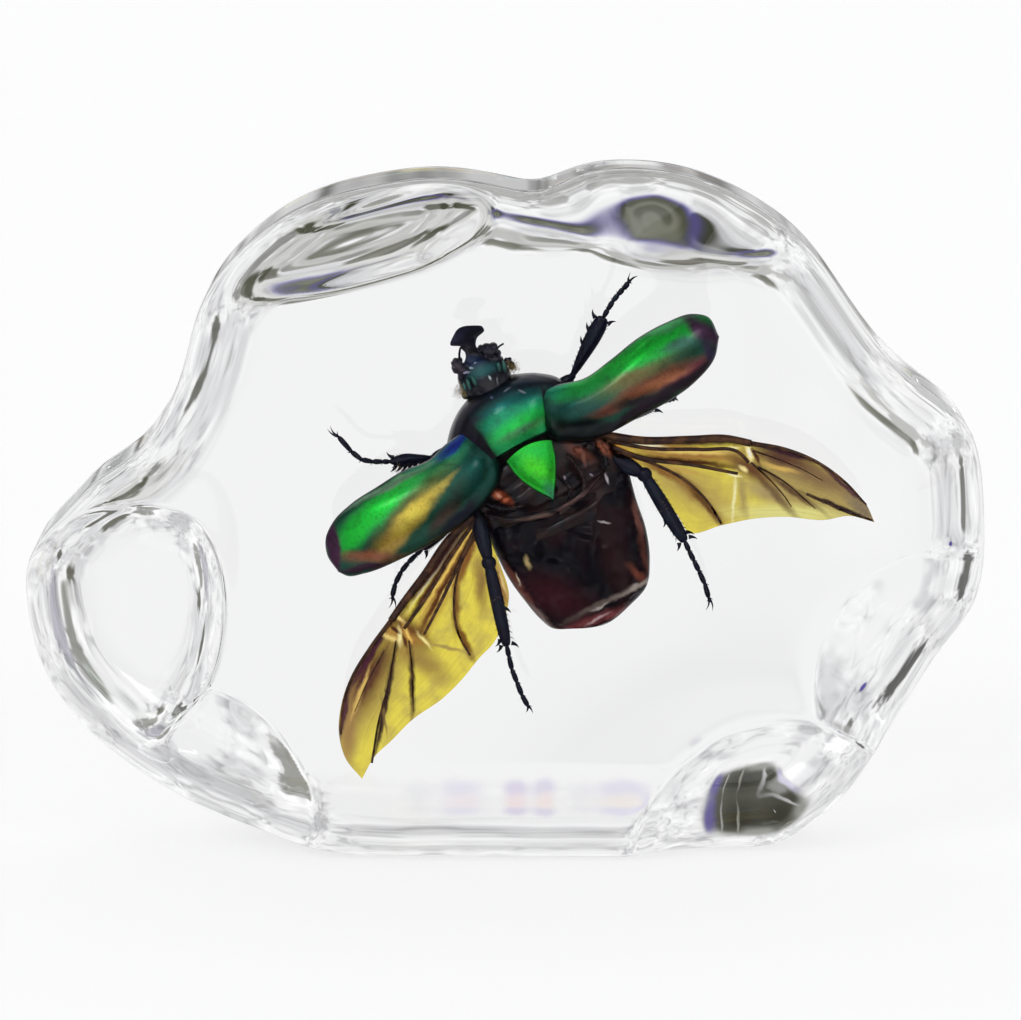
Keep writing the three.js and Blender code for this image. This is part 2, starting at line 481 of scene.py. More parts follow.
def abdomen_material():
    """Dark glossy skin above, with painted strokes, and a brown belly with paler sides."""
    material, tree, shader = finish("abdomen_skin", (0.02, 0.008, 0.01), roughness=0.25, coat=0.05,
                                    **{"Specular IOR Level": 0.08})
    skin = placed(tree, mottling(), Colour=(0.003, 0.002, 0.006, 1), Patch_Colour=(0.022, 0.004, 0.008, 1),
                  Scale=260.0, Amount=0.9)["Colour"]
    place = placed(tree, sheet_place(), Scale=700.0, Wander=9.0)["Place"]
    colour = painted(tree, place, skin, ABDOMEN_STROKES)
    masks = placed(tree, place_masks(), Scale=380.0, Wander=0.3, Edge=0.2)
    belly = mixed(tree, masks["Rim"], (0.035, 0.012, 0.012), (0.12, 0.035, 0.025))
    tree.links.new(mixed(tree, masks["Upper"], belly, colour), shader.inputs["Base Color"])
    relief(tree, shader, 0.3, distance=0.0001, Pit_Scale=900.0, Slow_Scale=450.0, Pits=0.0)
    return material


def membrane_material(name, strokes, settings):
    """Thin clear amber membrane with fine streaks along it, brown, golden and dark folds, and painted glints
    and shade at its crumples.
    """
    material, tree, shader = finish(name, settings.membrane, roughness=0.06, IOR=1.05,
                                    **{"Transmission Weight": 1.0})
    place = placed(tree, sheet_place(), Scale=700.0, Wander=6.0)["Place"]
    surface = node(tree, "Attribute", attribute_name="place").outputs["Vector"]
    stretch = node(tree, "Mapping", {"Vector": surface, "Scale": (3.0, 30.0, 1.0)}).outputs[0]
    streaks = noise_texture(tree, stretch, 1.0, 4.0)[0]
    wash = noise_texture(tree, place, 0.045, 4.0)[0]
    browner = math_node(tree, "MULTIPLY", faded(tree, wash, 0.4, 0.7), 0.6)
    colour = mixed(tree, browner, settings.membrane, (0.52, 0.40, 0.12))
    colour = painted(tree, place, colour, strokes)
    shade = mixed(tree, 1.0, colour, (0.55, 0.42, 0.3), "MULTIPLY")
    colour = mixed(tree, math_node(tree, "MULTIPLY", faded(tree, streaks, 0.45, 0.75), 0.35), colour, shade)
    tree.links.new(colour, shader.inputs["Base Color"])
    return material


# ---------------------------------------------------------------- the resin block

THICKNESS = round((CAD_BOX[1][1] - CAD_BOX[0][1]) / MM, 1)
HUB = np.array((0.0, 38.0))  # x, z where the spokes meet
BASE_SOFTNESS = 0.8  # how gently the outline runs into the flat base
# Front view in x and z, clockwise from the left tip. The base line dips below zero and is levelled.
OUTLINE = [
    (-55, 30), (-54, 36), (-50.5, 40.2), (-46.8, 43.9), (-42.5, 47), (-39, 51.5),
    (-36.5, 57.5), (-34.8, 63.6), (-31, 69.5), (-24, 75), (-15.7, 77.8), (-7.5, 78.7),
    (-0.5, 77.8), (4, 77.3), (8.5, 78.8), (14, 79.5), (21.5, 78.5), (29, 75.2),
    (34.8, 70.6), (39.2, 64.6), (44.2, 58.1), (49.5, 53.7), (53.5, 49.2), (54.8, 42),
    (55, 35), (54, 29), (50.4, 23.6), (46.5, 17.5), (42.9, 12), (40, 7),
    (35.5, 2.8), (30, 0), (20, -1.2), (8, -1.2), (-4, -1.2), (-15, -0.3),
    (-23.5, 1.2), (-32.3, 4.2), (-41.6, 9.1), (-48.3, 14.7), (-53.2, 21.7),
]
# How far each rim runs in, how deep it falls, and how much of it is a straight slope.
FRONT_RIM = {"width": 7.5, "depth": 6.5, "straight": 0.2}
BACK_RIM = {"width": 8.5, "depth": 6.5, "straight": 0.2}
# Hollows in the front: centre, half lengths to both sides, half width, turn in degrees, depth, the power of
# the profile and the softness of the ridge round it.
SCOOPS = [
    {"x": -41, "z": 26.6, "a": (16, 8.5), "b": 15.5, "turn": -14, "depth": 4.5, "power": 5, "soft": 0.12},
    {"x": -42, "z": 12, "a": (12, 12), "b": 7.5, "turn": -40, "depth": 3.2, "power": 2, "soft": 0.4},
    {"x": -32, "z": 10, "a": (13, 13), "b": 8.5, "turn": -52, "depth": 3.4, "power": 2.4, "soft": 0.2},
    {"x": -11.5, "z": 73.4, "a": (20, 10), "b": 4.4, "turn": 18, "depth": 3.4, "power": 2.2, "soft": 0.3},
    {"x": 18.5, "z": 78.3, "a": (15, 15), "b": 8.4, "turn": -7, "depth": 4.5, "power": 2.2, "soft": 0.45},
    {"x": 50, "z": 22, "a": (14.5, 14.5), "b": 14.5, "turn": 0, "depth": 4, "power": 3, "soft": 0.25},
    {"x": 32, "z": 1, "a": (17.5, 17.5), "b": 16, "turn": 25, "depth": 4.5, "power": 4, "soft": 0.12},
]
BLEND = 6  # how sharply the deeper hollow takes over where two of them meet
UNEVEN = 0.025  # hand polish: how much the rims and hollows waver, as a share of their depth
UNEVEN_LENGTH = 16.0  # scale of that waver in millimetres
FRONT_SEED, BACK_SEED = 21, 22
SPOKES = 640
REACH = 40  # stretches of the outline to either side of a spoke among which the nearest one is looked for
# Rings of the mesh, as shares of the way from the hub to the outline. They crowd together at its edge.
EDGE_RINGS = 1 - 0.05 * (1 - np.arange(1, 15) / 14) ** 2
FRONT_RINGS = np.concatenate([np.linspace(0.12, 0.5, 5), np.linspace(0.53, 0.95, 60), EDGE_RINGS])
BACK_RINGS = np.concatenate([np.linspace(0.2, 0.6, 4), np.linspace(0.66, 0.95, 26), EDGE_RINGS])
WALL_ROWS = 7


def block_outline(count):
    """The front view's closed curve, its base line lifted level with a short parabola on each side."""
    curve = closed_spline(OUTLINE, count)
    x, z = curve[:, 0], curve[:, 1]
    soft = (z + BASE_SOFTNESS) ** 2 / (4 * BASE_SOFTNESS)
    z = np.where(z >= BASE_SOFTNESS, z, np.where(z <= -BASE_SOFTNESS, 0, soft))
    return np.stack([x - (x.min() + x.max()) / 2, z], -1)


def distance_in(outline, x, z):
    """Distance from points on the outline's spokes to the nearest stretch of the outline."""
    best = np.full(x.shape, np.inf)
    ends = np.roll(outline, -1, 0)
    for k in range(-REACH, REACH + 1):
        a, b = np.roll(outline, k, 0), np.roll(ends, k, 0)
        share = ((x - a[:, 0]) * (b - a)[:, 0] + (z - a[:, 1]) * (b - a)[:, 1]) / ((b - a) ** 2).sum(1)
        t = np.clip(share, 0, 1)
        gap = np.hypot(x - a[:, 0] - t * (b - a)[:, 0], z - a[:, 1] - t * (b - a)[:, 1])
        best = np.minimum(best, gap)
    return best


def rim_depth(rim, distance):
    """A rim's fall: part soft slope, part quarter ellipse, from its width in to the outline."""
    q = np.clip(1 - distance / rim["width"], 0, 1)
    return rim["depth"] * (rim["straight"] * q**1.5 + (1 - rim["straight"]) * (1 - np.sqrt(1 - q * q)))


def scoop_depth(scoop, x, z):
    """A hollow inside its turned ellipse. Its floor is flatter as its power rises; its ridge is softened."""
    turn = math.radians(scoop["turn"])
    along_it = (x - scoop["x"]) * math.cos(turn) + (z - scoop["z"]) * math.sin(turn)
    across_it = (z - scoop["z"]) * math.cos(turn) - (x - scoop["x"]) * math.sin(turn)
    reach = np.where(along_it < 0, *scoop["a"])
    q = 1 - ((along_it / reach) ** 2 + (across_it / scoop["b"]) ** 2) ** (scoop["power"] / 2)
    return scoop["depth"] * (q + np.sqrt(q * q + scoop["soft"] ** 2)) / 2


def wavered(x, z, seed):
    """How much of its depth a face keeps at each place: a little under the whole, slowly changing."""
    return 1 - UNEVEN * (1 + ripple(x / UNEVEN_LENGTH, z / UNEVEN_LENGTH, seed) / 2)


def block_solid():
    """Rings of points from the front's hub over the rim, the wall and the back's rim to the back's hub."""
    outline = block_outline(SPOKES)
    front, back = (HUB + rings[:, None, None] * (outline - HUB) for rings in (FRONT_RINGS, BACK_RINGS))
    x, z = front[..., 0], front[..., 1]
    hollows = sum(scoop_depth(scoop, x, z) ** BLEND for scoop in SCOOPS)
    depth = rim_depth(FRONT_RIM, distance_in(outline, x, z)) + hollows ** (1 / BLEND)
    front_y = depth * wavered(x, z, FRONT_SEED) - THICKNESS / 2
    x, z = back[..., 0], back[..., 1]
    back_y = THICKNESS / 2 - wavered(x, z, BACK_SEED) * rim_depth(BACK_RIM, distance_in(outline, x, z))
    share = np.linspace(0, 1, WALL_ROWS + 1)[1:-1, None]
    wall_y = front_y[-1] + share * (back_y[-1] - front_y[-1])
    wall = np.broadcast_to(outline, (len(share), SPOKES, 2))
    plan = np.concatenate([front, wall, back[::-1]])
    y = np.concatenate([front_y, wall_y, back_y[::-1]])
    rings = np.stack([plan[..., 0], y, plan[..., 1]], -1)
    return closed(rings, np.zeros_like(rings))


# ---------------------------------------------------------------- the beetle

# Painted strokes: both ends on the sheet, half width in squares, softness, colour.
# The neck shield's bands are partly its own colour and partly painted light: the bright green over its hind
# middle is a painted highlight, and the dark front and dark left side are painted shade.
PRONOTUM_STROKES = [
    (488, 394, 530, 389, 8, 0.9, (0.008, 0.035, 0.060)),
    (492, 412, 536, 398, 10, 0.6, (0.008, 0.17, 0.15)),
    (488, 428, 545, 406, 12, 0.4, (0.010, 0.34, 0.16)),
    (502, 442, 544, 420, 17, 0.3, (0.010, 0.42, 0.12)),
    (506, 434, 542, 414, 9, 0.8, (0.012, 0.68, 0.09)),
    (506, 438, 540, 421, 3.5, 0.9, (0.10, 0.40, 0.16)),
    (452, 418, 486, 464, 14, 0.4, (0.009, 0.007, 0.024)),
    (470, 425, 500, 464, 3, 0.5, BLACK),
    (542, 388, 551, 434, 2.5, 0.4, BLACK),
    (478, 391, 480, 390, 1.3, 0.5, (0.35, 0.33, 0.42)),
    (491, 398, 492, 398, 1.2, 0.5, (0.16, 0.22, 0.4)),
    (505, 392, 510, 389, 1.0, 0.5, (0.3, 0.36, 0.42)),
    (519, 391, 524, 393, 1.0, 0.5, (0.3, 0.38, 0.42)),
]
SCUTELLUM_STROKES = [
    (512, 462, 548, 446, 7, 0.7, (0.014, 0.62, 0.06)),
    # a painted highlight
    (530, 464, 542, 472, 8, 0.9, (0.07, 0.84, 0.02)),
    (549, 489, 554, 499, 6, 0.8, (0.06, 0.46, 0.18)),
]
RIGHT_CASE_STROKES = [
    (550, 407, 600, 408, 10, 0.6, (0.006, 0.085, 0.07)),
    (545, 393, 580, 388, 7, 0.7, (0.008, 0.36, 0.20)),
    (603, 390, 668, 358, 12, 0.6, (0.07, 0.15, 0.055)),
    (566, 393, 604, 376, 9, 0.6, (0.014, 0.50, 0.08)),
    (602, 374, 688, 330, 14, 0.45, (0.020, 0.46, 0.07)),
    (606, 370, 676, 334, 8, 0.8, (0.012, 0.72, 0.05)),
    (640, 336, 686, 323, 4, 0.8, (0.10, 0.55, 0.18)),
    (616, 386, 652, 370, 6, 0.9, (0.17, 0.15, 0.05)),
    (667, 350, 698, 340, 6, 0.7, (0.05, 0.17, 0.12)),
    (624, 399, 684, 369, 8, 0.6, (0.34, 0.11, 0.055)),
    (668, 388, 702, 364, 7, 0.7, (0.22, 0.035, 0.065)),
    (646, 388, 678, 374, 4, 0.8, (0.78, 0.30, 0.15)),
    (596, 414, 618, 407, 4.5, 0.8, (0.26, 0.09, 0.055)),
    (622, 406, 650, 400, 4.5, 0.8, (0.016, 0.012, 0.016)),
    (554, 430, 612, 430, 11, 0.5, (0.004, 0.012, 0.014)),
    (606, 432, 716, 360, 5.5, 0.5, (0.020, 0.006, 0.020)),
    (688, 322, 716, 344, 8, 0.6, (0.085, 0.035, 0.085)),
    (704, 346, 716, 368, 5, 0.7, (0.045, 0.03, 0.08)),
]
LEFT_CASE_STROKES = [
    (482, 470, 470, 455, 23, 0.5, (0.004, 0.095, 0.075)),
    (460, 450, 430, 474, 9, 0.7, (0.010, 0.28, 0.12)),
    (466, 435, 434, 463, 4.5, 0.5, (0.010, 0.045, 0.42)),
    (434, 464, 406, 473, 2.5, 0.8, (0.02, 0.16, 0.25)),
    (426, 473, 342, 540, 15, 0.4, (0.03, 0.38, 0.09)),
    (404, 487, 352, 532, 9, 0.7, (0.012, 0.68, 0.05)),
    (364, 520, 350, 542, 9, 0.7, (0.012, 0.72, 0.05)),
    (420, 470, 352, 506, 3, 0.8, (0.26, 0.50, 0.30)),
    (442, 474, 380, 538, 9, 0.6, (0.12, 0.16, 0.04)),
    (452, 476, 425, 502, 3.5, 0.6, (0.50, 0.42, 0.08)),
    (430, 497, 396, 536, 9, 0.5, (0.62, 0.46, 0.06)),
    (404, 526, 384, 550, 11, 0.5, (0.55, 0.36, 0.07)),
    (420, 508, 402, 526, 6, 0.9, (0.95, 0.78, 0.10)),
    (352, 556, 390, 556, 6, 0.8, (0.42, 0.15, 0.08)),
    (380, 563, 420, 556, 4, 0.8, (0.20, 0.12, 0.05)),
    (458, 490, 430, 548, 9, 0.35, (0.020, 0.065, 0.045)),
    (452, 508, 438, 522, 6, 0.8, (0.09, 0.055, 0.04)),
    (476, 500, 446, 532, 6, 0.6, (0.008, 0.010, 0.030)),
    (331, 524, 336, 566, 7.5, 0.35, (0.085, 0.022, 0.075)),
    (340, 571, 400, 562, 3, 0.6, (0.06, 0.02, 0.05)),
]
THORAX_STROKES = [
    (495, 492, 508, 500, 4.5, 0.5, (0.60, 0.13, 0.05)),
    (498, 494, 501, 496, 1.5, 0.6, (0.95, 0.45, 0.28)),
    (572, 448, 586, 456, 5, 0.8, (0.30, 0.085, 0.045)),
    (582, 452, 584, 462, 2, 0.7, (0.50, 0.20, 0.14)),
    (600, 443, 608, 452, 4, 0.7, (0.45, 0.13, 0.06)),
    (520, 519, 556, 513, 1.8, 0.8, (0.20, 0.12, 0.09)),
    (556, 512, 596, 484, 1.8, 0.8, (0.16, 0.08, 0.07)),
    (588, 478, 612, 516, 9, 0.9, (0.040, 0.012, 0.012)),
    # painted glints
    (605, 474, 608, 482, 1.4, 0.5, (0.75, 0.68, 0.72)),
    (590, 474, 592, 475, 1.0, 0.5, (0.5, 0.42, 0.55)),
    (564, 476, 565, 478, 1.0, 0.5, (0.55, 0.45, 0.55)),
]
ABDOMEN_STROKES = [
    (540, 590, 572, 604, 17, 0.9, (0.060, 0.008, 0.016)),
    (604, 530, 624, 590, 12, 0.9, (0.030, 0.007, 0.010)),
    (634, 505, 641, 534, 3.5, 0.6, (0.34, 0.13, 0.10)),
    (640, 536, 648, 572, 3.2, 0.7, (0.16, 0.05, 0.035)),
    (632, 568, 644, 580, 3.6, 0.9, (0.28, 0.075, 0.045)),
    (574, 617, 650, 579, 2.6, 0.9, (0.24, 0.18, 0.155)),
    (566, 629, 632, 606, 4.5, 0.8, (0.30, 0.075, 0.08)),
    # two painted glints
    (590, 622, 606, 614, 1.6, 0.7, (0.85, 0.55, 0.55)),
    (594, 609, 606, 603, 1.1, 0.8, (0.70, 0.62, 0.58)),
    (618, 596, 640, 585, 1.8, 0.9, (0.42, 0.34, 0.30)),
    (634, 587, 648, 580, 2.2, 0.7, (0.60, 0.52, 0.45)),
    (505, 566, 532, 604, 3.4, 0.7, (0.26, 0.08, 0.055)),
    (530, 604, 552, 628, 2.8, 0.9, (0.36, 0.25, 0.21)),
    # a painted glint
    (516, 574, 519, 582, 1.4, 0.6, (0.90, 0.75, 0.55)),
    (526, 558, 529, 565, 2.4, 0.8, (0.80, 0.60, 0.26)),
    # a painted glint
    (600, 521, 608, 522, 1.2, 0.6, (0.75, 0.65, 0.65)),
    (552, 500, 600, 482, 2.0, 0.9, (0.10, 0.05, 0.045)),
]
HEAD_STROKES = [
    (471, 361, 480, 364, 5, 0.8, (0.012, 0.04, 0.13)),
    (476, 374, 490, 369, 6, 0.7, (0.02, 0.16, 0.17)),
    (456, 364, 460, 372, 4, 0.8, (0.07, 0.05, 0.075)),
    (454, 342, 462, 334, 4, 0.9, (0.035, 0.03, 0.075)),
    (484, 386, 504, 379, 8, 0.6, (0.006, 0.006, 0.016)),
    # painted glints
    (471, 368, 473, 368.5, 1.2, 0.5, (0.6, 0.75, 0.9)),
    (465, 373.5, 470, 372.5, 0.9, 0.5, (0.7, 0.62, 0.9)),
    (489.5, 377, 490.5, 379, 1.0, 0.5, (0.7, 0.8, 0.85)),
    (510, 366, 515, 374, 3, 0.8, (0.35, 0.26, 0.10)),
    (460, 388, 464, 396, 3, 0.8, (0.30, 0.26, 0.10)),
]
RIGHT_WING_STROKES = [
    (664, 470, 716, 506, 17, 0.9, (0.50, 0.37, 0.11)),
    (752, 486, 800, 498, 10, 0.9, (0.40, 0.31, 0.16)),
    (770, 470, 868, 512, 24, 0.5, (0.46, 0.35, 0.12)),
    (770, 456, 852, 490, 10, 0.8, (0.27, 0.17, 0.08)),
    (742, 512, 832, 515, 9, 0.7, (0.80, 0.75, 0.27)),
    (760, 452, 800, 462, 7, 0.9, (0.12, 0.055, 0.035)),
    (766, 464, 792, 471, 2.6, 0.7, (0.72, 0.48, 0.13)),
    (754, 470, 791, 511, 3.5, 0.8, (0.20, 0.13, 0.06)),
    (764, 471, 816, 507, 3.0, 0.8, (0.14, 0.08, 0.04)),
    (852, 500, 872, 518, 6, 0.7, (0.26, 0.20, 0.12)),
    (806, 493, 872, 520, 2.2, 0.6, (0.035, 0.02, 0.02)),
    (630, 446, 735, 458, 8, 0.6, (0.38, 0.20, 0.05)),
    # painted highlights along the brown inner band
    (660, 450, 726, 452, 2.6, 0.7, (0.85, 0.62, 0.18)),
    (624, 443, 660, 446, 1.5, 0.6, (0.98, 0.92, 0.62)),
    (622, 454, 738, 467, 3.0, 0.7, (0.07, 0.02, 0.008)),
    (660, 465, 700, 474, 2.4, 0.8, (0.62, 0.42, 0.10)),
    (642, 462, 690, 484, 3.4, 0.8, (0.26, 0.12, 0.03)),
    (676, 476, 714, 512, 5.0, 0.9, (0.30, 0.16, 0.045)),
    (688, 484, 722, 524, 3.0, 0.8, (0.13, 0.06, 0.02)),
    # a soft fold painted as light and shade: a painted highlight on its crest, painted shade beside it and
    # painted shade near the joint
    (735, 476, 732, 519, 1.6, 0.8, (0.92, 0.86, 0.42)),
    (740, 480, 744, 510, 4.0, 0.9, (0.46, 0.36, 0.12)),
    (736, 460, 760, 476, 7, 0.8, (0.16, 0.07, 0.03)),
    (612, 446, 628, 457, 5, 0.8, (0.40, 0.08, 0.02)),
    (616, 450, 622, 453, 2, 0.8, (0.90, 0.42, 0.14)),
    (606, 438, 750, 441, 5.0, 0.5, (0.035, 0.013, 0.013)),
    (752, 443, 820, 462, 2.8, 0.6, (0.05, 0.018, 0.03)),
    (818, 462, 868, 506, 2.2, 0.6, (0.10, 0.045, 0.05)),
    # painted glints on the crumpled fold joint, with painted shade at the edge of the first
    (747, 446, 750, 458, 3.4, 0.5, (1.0, 0.86, 0.35)),
    (748, 449, 749, 455, 1.8, 0.5, (1.0, 0.98, 0.80)),
    (751, 448, 758, 462, 2.0, 0.5, (0.09, 0.03, 0.02)),
    (727, 449, 736, 447, 1.8, 0.6, (1.0, 0.90, 0.50)),
    (740, 466, 744, 470, 2.2, 0.6, (1.0, 0.84, 0.36)),
    (729, 474, 738, 476, 1.6, 0.6, (1.0, 0.92, 0.50)),
]
LEFT_WING_STROKES = [
    (396, 654, 348, 730, 20, 0.6, (0.56, 0.44, 0.10)),
    (386, 648, 346, 712, 14, 0.9, (0.13, 0.05, 0.025)),
    (352, 700, 344, 760, 8, 0.8, (0.40, 0.25, 0.09)),
    (404, 648, 436, 670, 10, 0.9, (0.40, 0.27, 0.07)),
    (368, 668, 352, 714, 2.4, 0.7, (0.76, 0.52, 0.16)),
    (411, 643, 412, 716, 2.8, 0.7, (0.09, 0.05, 0.02)),
    (397, 642, 372, 765, 2.6, 0.6, (0.05, 0.025, 0.02)),
    (381, 700, 385, 730, 1.4, 0.8, (0.22, 0.14, 0.06)),
    (384, 652, 364, 694, 2.6, 0.7, (0.12, 0.05, 0.03)),
    (374, 650, 356, 690, 2.2, 0.7, (0.10, 0.035, 0.03)),
    (474, 526, 420, 632, 9, 0.6, (0.46, 0.27, 0.06)),
    (462, 532, 416, 598, 1.8, 0.6, (1.0, 0.90, 0.60)),
    (474, 524, 426, 604, 2.0, 0.6, (0.85, 0.58, 0.14)),
    (472, 522, 404, 628, 3.4, 0.6, (0.09, 0.03, 0.01)),
    (478, 526, 418, 634, 3.0, 0.6, (0.11, 0.035, 0.012)),
    (462, 560, 438, 606, 2.0, 0.8, (0.92, 0.72, 0.20)),
    (476, 536, 457, 584, 3.6, 0.7, (0.26, 0.11, 0.03)),
    (456, 580, 456, 626, 3.6, 0.8, (0.22, 0.10, 0.025)),
    (456, 622, 472, 656, 3.2, 0.7, (0.20, 0.09, 0.02)),
    (480, 562, 482, 600, 6, 0.8, (0.34, 0.22, 0.06)),
    (398, 622, 422, 640, 9, 0.8, (0.16, 0.065, 0.02)),
    (430, 643, 464, 651, 1.8, 0.8, (0.46, 0.34, 0.10)),
    (496, 568, 507, 602, 4.5, 0.7, (0.38, 0.20, 0.06)),
    (500, 572, 506, 592, 1.4, 0.7, (0.80, 0.60, 0.24)),
    (470, 518, 390, 622, 5.5, 0.5, (0.04, 0.013, 0.012)),
    (390, 622, 348, 690, 3.2, 0.6, (0.07, 0.02, 0.035)),
    (348, 688, 338, 738, 2.6, 0.6, (0.10, 0.04, 0.05)),
    # painted glints on the crumpled fold joint over a golden-brown patch, and painted shade beside them
    (388, 630, 418, 640, 5.0, 0.9, (0.50, 0.27, 0.06)),
    (396, 616, 403, 621, 1.8, 0.9, (0.95, 0.72, 0.26)),
    (384, 634, 396, 640, 2.4, 0.9, (0.95, 0.72, 0.24)),
    (399, 630, 400, 642, 1.8, 0.9, (1.0, 0.88, 0.42)),
    (405, 628, 411, 640, 1.8, 0.9, (0.95, 0.62, 0.16)),
    (419, 634, 429, 646, 1.6, 0.9, (0.98, 0.84, 0.34)),
    (392, 626, 398, 632, 1.8, 0.6, (0.08, 0.025, 0.012)),
    (403, 636, 406, 646, 1.6, 0.6, (0.10, 0.035, 0.015)),
]
# Both side edges of each piece on the sheet, from its root or its head end.
PRONOTUM = (
    [(470, 396), (458, 412), (449, 434), (447, 458), (462, 482)],
    [(513, 374), (538, 373), (560, 379), (571, 398), (566, 424)],
)
SCUTELLUM = (
    [(506, 462), (515, 474), (534, 489), (554, 500)],
    [(552, 440), (555, 452), (556, 475), (554, 500)],
)
RIGHT_CASE = (
    [(537, 392), (558, 385), (583, 379), (609, 361), (637, 339), (665, 324), (690, 316), (706, 319),
     (717, 338)],
    [(537, 392), (540, 415), (552, 438), (575, 441), (592, 440), (609, 433), (637, 418), (665, 403),
     (693, 383), (713, 358), (717, 338)],
)
LEFT_CASE = (
    [(466, 430), (446, 444), (430, 459), (404, 470), (378, 486), (352, 503), (334, 521), (326.5, 538),
     (328, 554), (339, 571)],
    [(466, 430), (484, 441), (500, 462), (500, 480), (488, 499), (470, 517), (448, 533), (404, 557),
     (365, 572.5), (348, 575), (339, 571)],
)
THORAX = (
    [(462, 462), (468, 492), (482, 522), (497, 556)],
    [(584, 408), (610, 436), (626, 466), (636, 502)],
)
ABDOMEN = (
    [(486, 510), (490, 538), (499, 559), (509, 578), (524, 599), (540, 618), (552, 627.5), (572, 628)],
    [(628, 468), (636, 498), (646, 528), (650, 560), (647, 585), (631, 604), (605, 624), (588, 627.5),
     (572, 628)],
)
RIGHT_WING = (
    [(596, 432), (641, 441), (682, 440), (723, 438), (753, 443), (784, 449), (815, 461), (845, 482),
     (866, 504), (874, 521)],
    [(596, 432), (620, 462), (655, 490), (677, 514), (688, 531), (723, 524), (753, 518), (784, 516),
     (825, 519), (848, 515), (874, 521)],
)
LEFT_WING = (
    [(482, 512), (450, 533), (428, 568), (402, 601), (389, 619), (369, 647), (351, 675), (340, 708),
     (338, 732), (345, 760), (361, 780)],
    [(482, 512), (499, 560), (509, 596), (504, 620), (494, 642), (479, 658), (463, 678), (443, 698),
     (412, 720), (389, 743), (375, 756), (361, 780)],
)
HEAD = (
    [(474, 400), (463, 391), (458, 380), (459, 370), (465, 361), (474, 352)],
    [(513, 382), (510, 370), (504, 361), (495, 355), (484, 351), (474, 352)],
)
HORN = (
    [(464, 366), (466, 355), (462, 348), (451, 346), (454, 337), (459, 330), (464, 327.8), (473, 327)],
    [(488, 362), (480, 352), (476.5, 347), (477, 340), (484.5, 331), (482, 327.5), (478, 327), (473, 327)],
)


# The wing cases' middle line above the beetle's middle plane, in millimetres.
RIGHT_LIFT = [3.4, 4.2, 4.6, 4.4, 4.0]
LEFT_LIFT = [3.4, 4.0, 4.4, 4.2, 3.8]


def case_solid(edges, lift):
    """A wing case: a long dome over a slowly rising line, with a thin wall."""
    def upper(u, v):
        return profile(lift, u) + profile([0.3, 2.0, 2.5, 2.5, 2.2, 1.5, 0.3], u) * dome(v, 0.6)

    def lower(u, v):
        return upper(u, v) - 0.35 * dome(v, 0.3) * dome(u, 0.2)

    return shell(*edges, upper, lower, 150, 90)


def pronotum_solid():
    """The neck shield and the ring of the body under it."""
    def upper(u, v):
        bead = 0.12 * (bell(v, 0.05, 0.02) + bell(v, 0.95, 0.02))
        return profile([2.4, 4.4, 5.4, 5.7, 5.4], u) * dome(v, 0.4) + bead * dome(v, 0.5)

    def lower(u, v):
        return -profile([1.5, 3.0, 3.8, 3.8, 3.2], u) * dome(v, 0.5)

    return shell(*PRONOTUM, upper, lower, 90, 80, bulge=lambda u, v: -0.7 * u**3 * dome(v, 1.0))


def scutellum_solid():
    """The small triangular plate between the wing cases."""
    def level(u):
        return profile([4.9, 5.0, 4.9, 4.6], u)

    def upper(u, v):
        return level(u) + 0.7 * dome(v, 0.6) * dome(0.5 + u / 2, 0.4)

    def lower(u, v):
        return level(u) - 0.8 * dome(v, 0.5)

    return shell(*SCUTELLUM, upper, lower, 60, 40, bulge=lambda u, v: -0.75 * (1 - u) ** 2 * dome(v, 1.0))


def thorax_solid():
    """The wing-bearing ring of the body: softly ridged on top, deep and smooth below."""
    def upper(u, v):
        ridges = 0.22 * np.cos(2 * np.pi * (2.6 * u + 0.5 * dome(v, 1.0)))
        crumples = 0.16 * ripple(2.4 * u, 2.4 * v, 11)
        return (profile([2.6, 3.5, 3.4, 3.0], u) + (ridges + crumples)) * dome(v, 0.35)

    def lower(u, v):
        return -profile([3.6, 5.4, 5.6, 4.8], u) * dome(v, 0.45)

    return shell(*THORAX, upper, lower, 90, 90)


def abdomen_solid():
    """A blunt sack of overlapping rings: sunken above with folded, crumpled sides, rounded below."""
    def rings(u, height):
        step = (6 * u) % 1.0
        return height * (step - 0.5) * np.clip(np.minimum(step, 1 - step) / 0.2, 0, 1)

    def upper(u, v):
        sides = bell(v, 0.07, 0.045) + bell(v, 0.93, 0.045) + 0.9 * bell(u, 0.94, 0.03) * dome(v, 0.5)
        folds = sides * (0.5 + 0.16 * ripple(9 * u, 5 * v, 4))
        skin = 0.22 * ripple(2.2 * u, 2.2 * v, 3) + 0.05 * ripple(6 * u, 5 * v, 5)
        sunk = 0.6 * bell(v, 0.5, 0.28)
        height = profile([2.8, 3.4, 3.7, 3.6, 3.1, 2.4, 0.7], u) - sunk + folds + rings(u, 0.16) + skin
        return height * dome(v, 0.3)

    def lower(u, v):
        return -(profile([4.2, 5.2, 5.3, 4.9, 4.0, 2.8, 0.6], u) - rings(u, 0.3)) * dome(v, 0.45)

    return shell(*ABDOMEN, upper, lower, 240, 150)


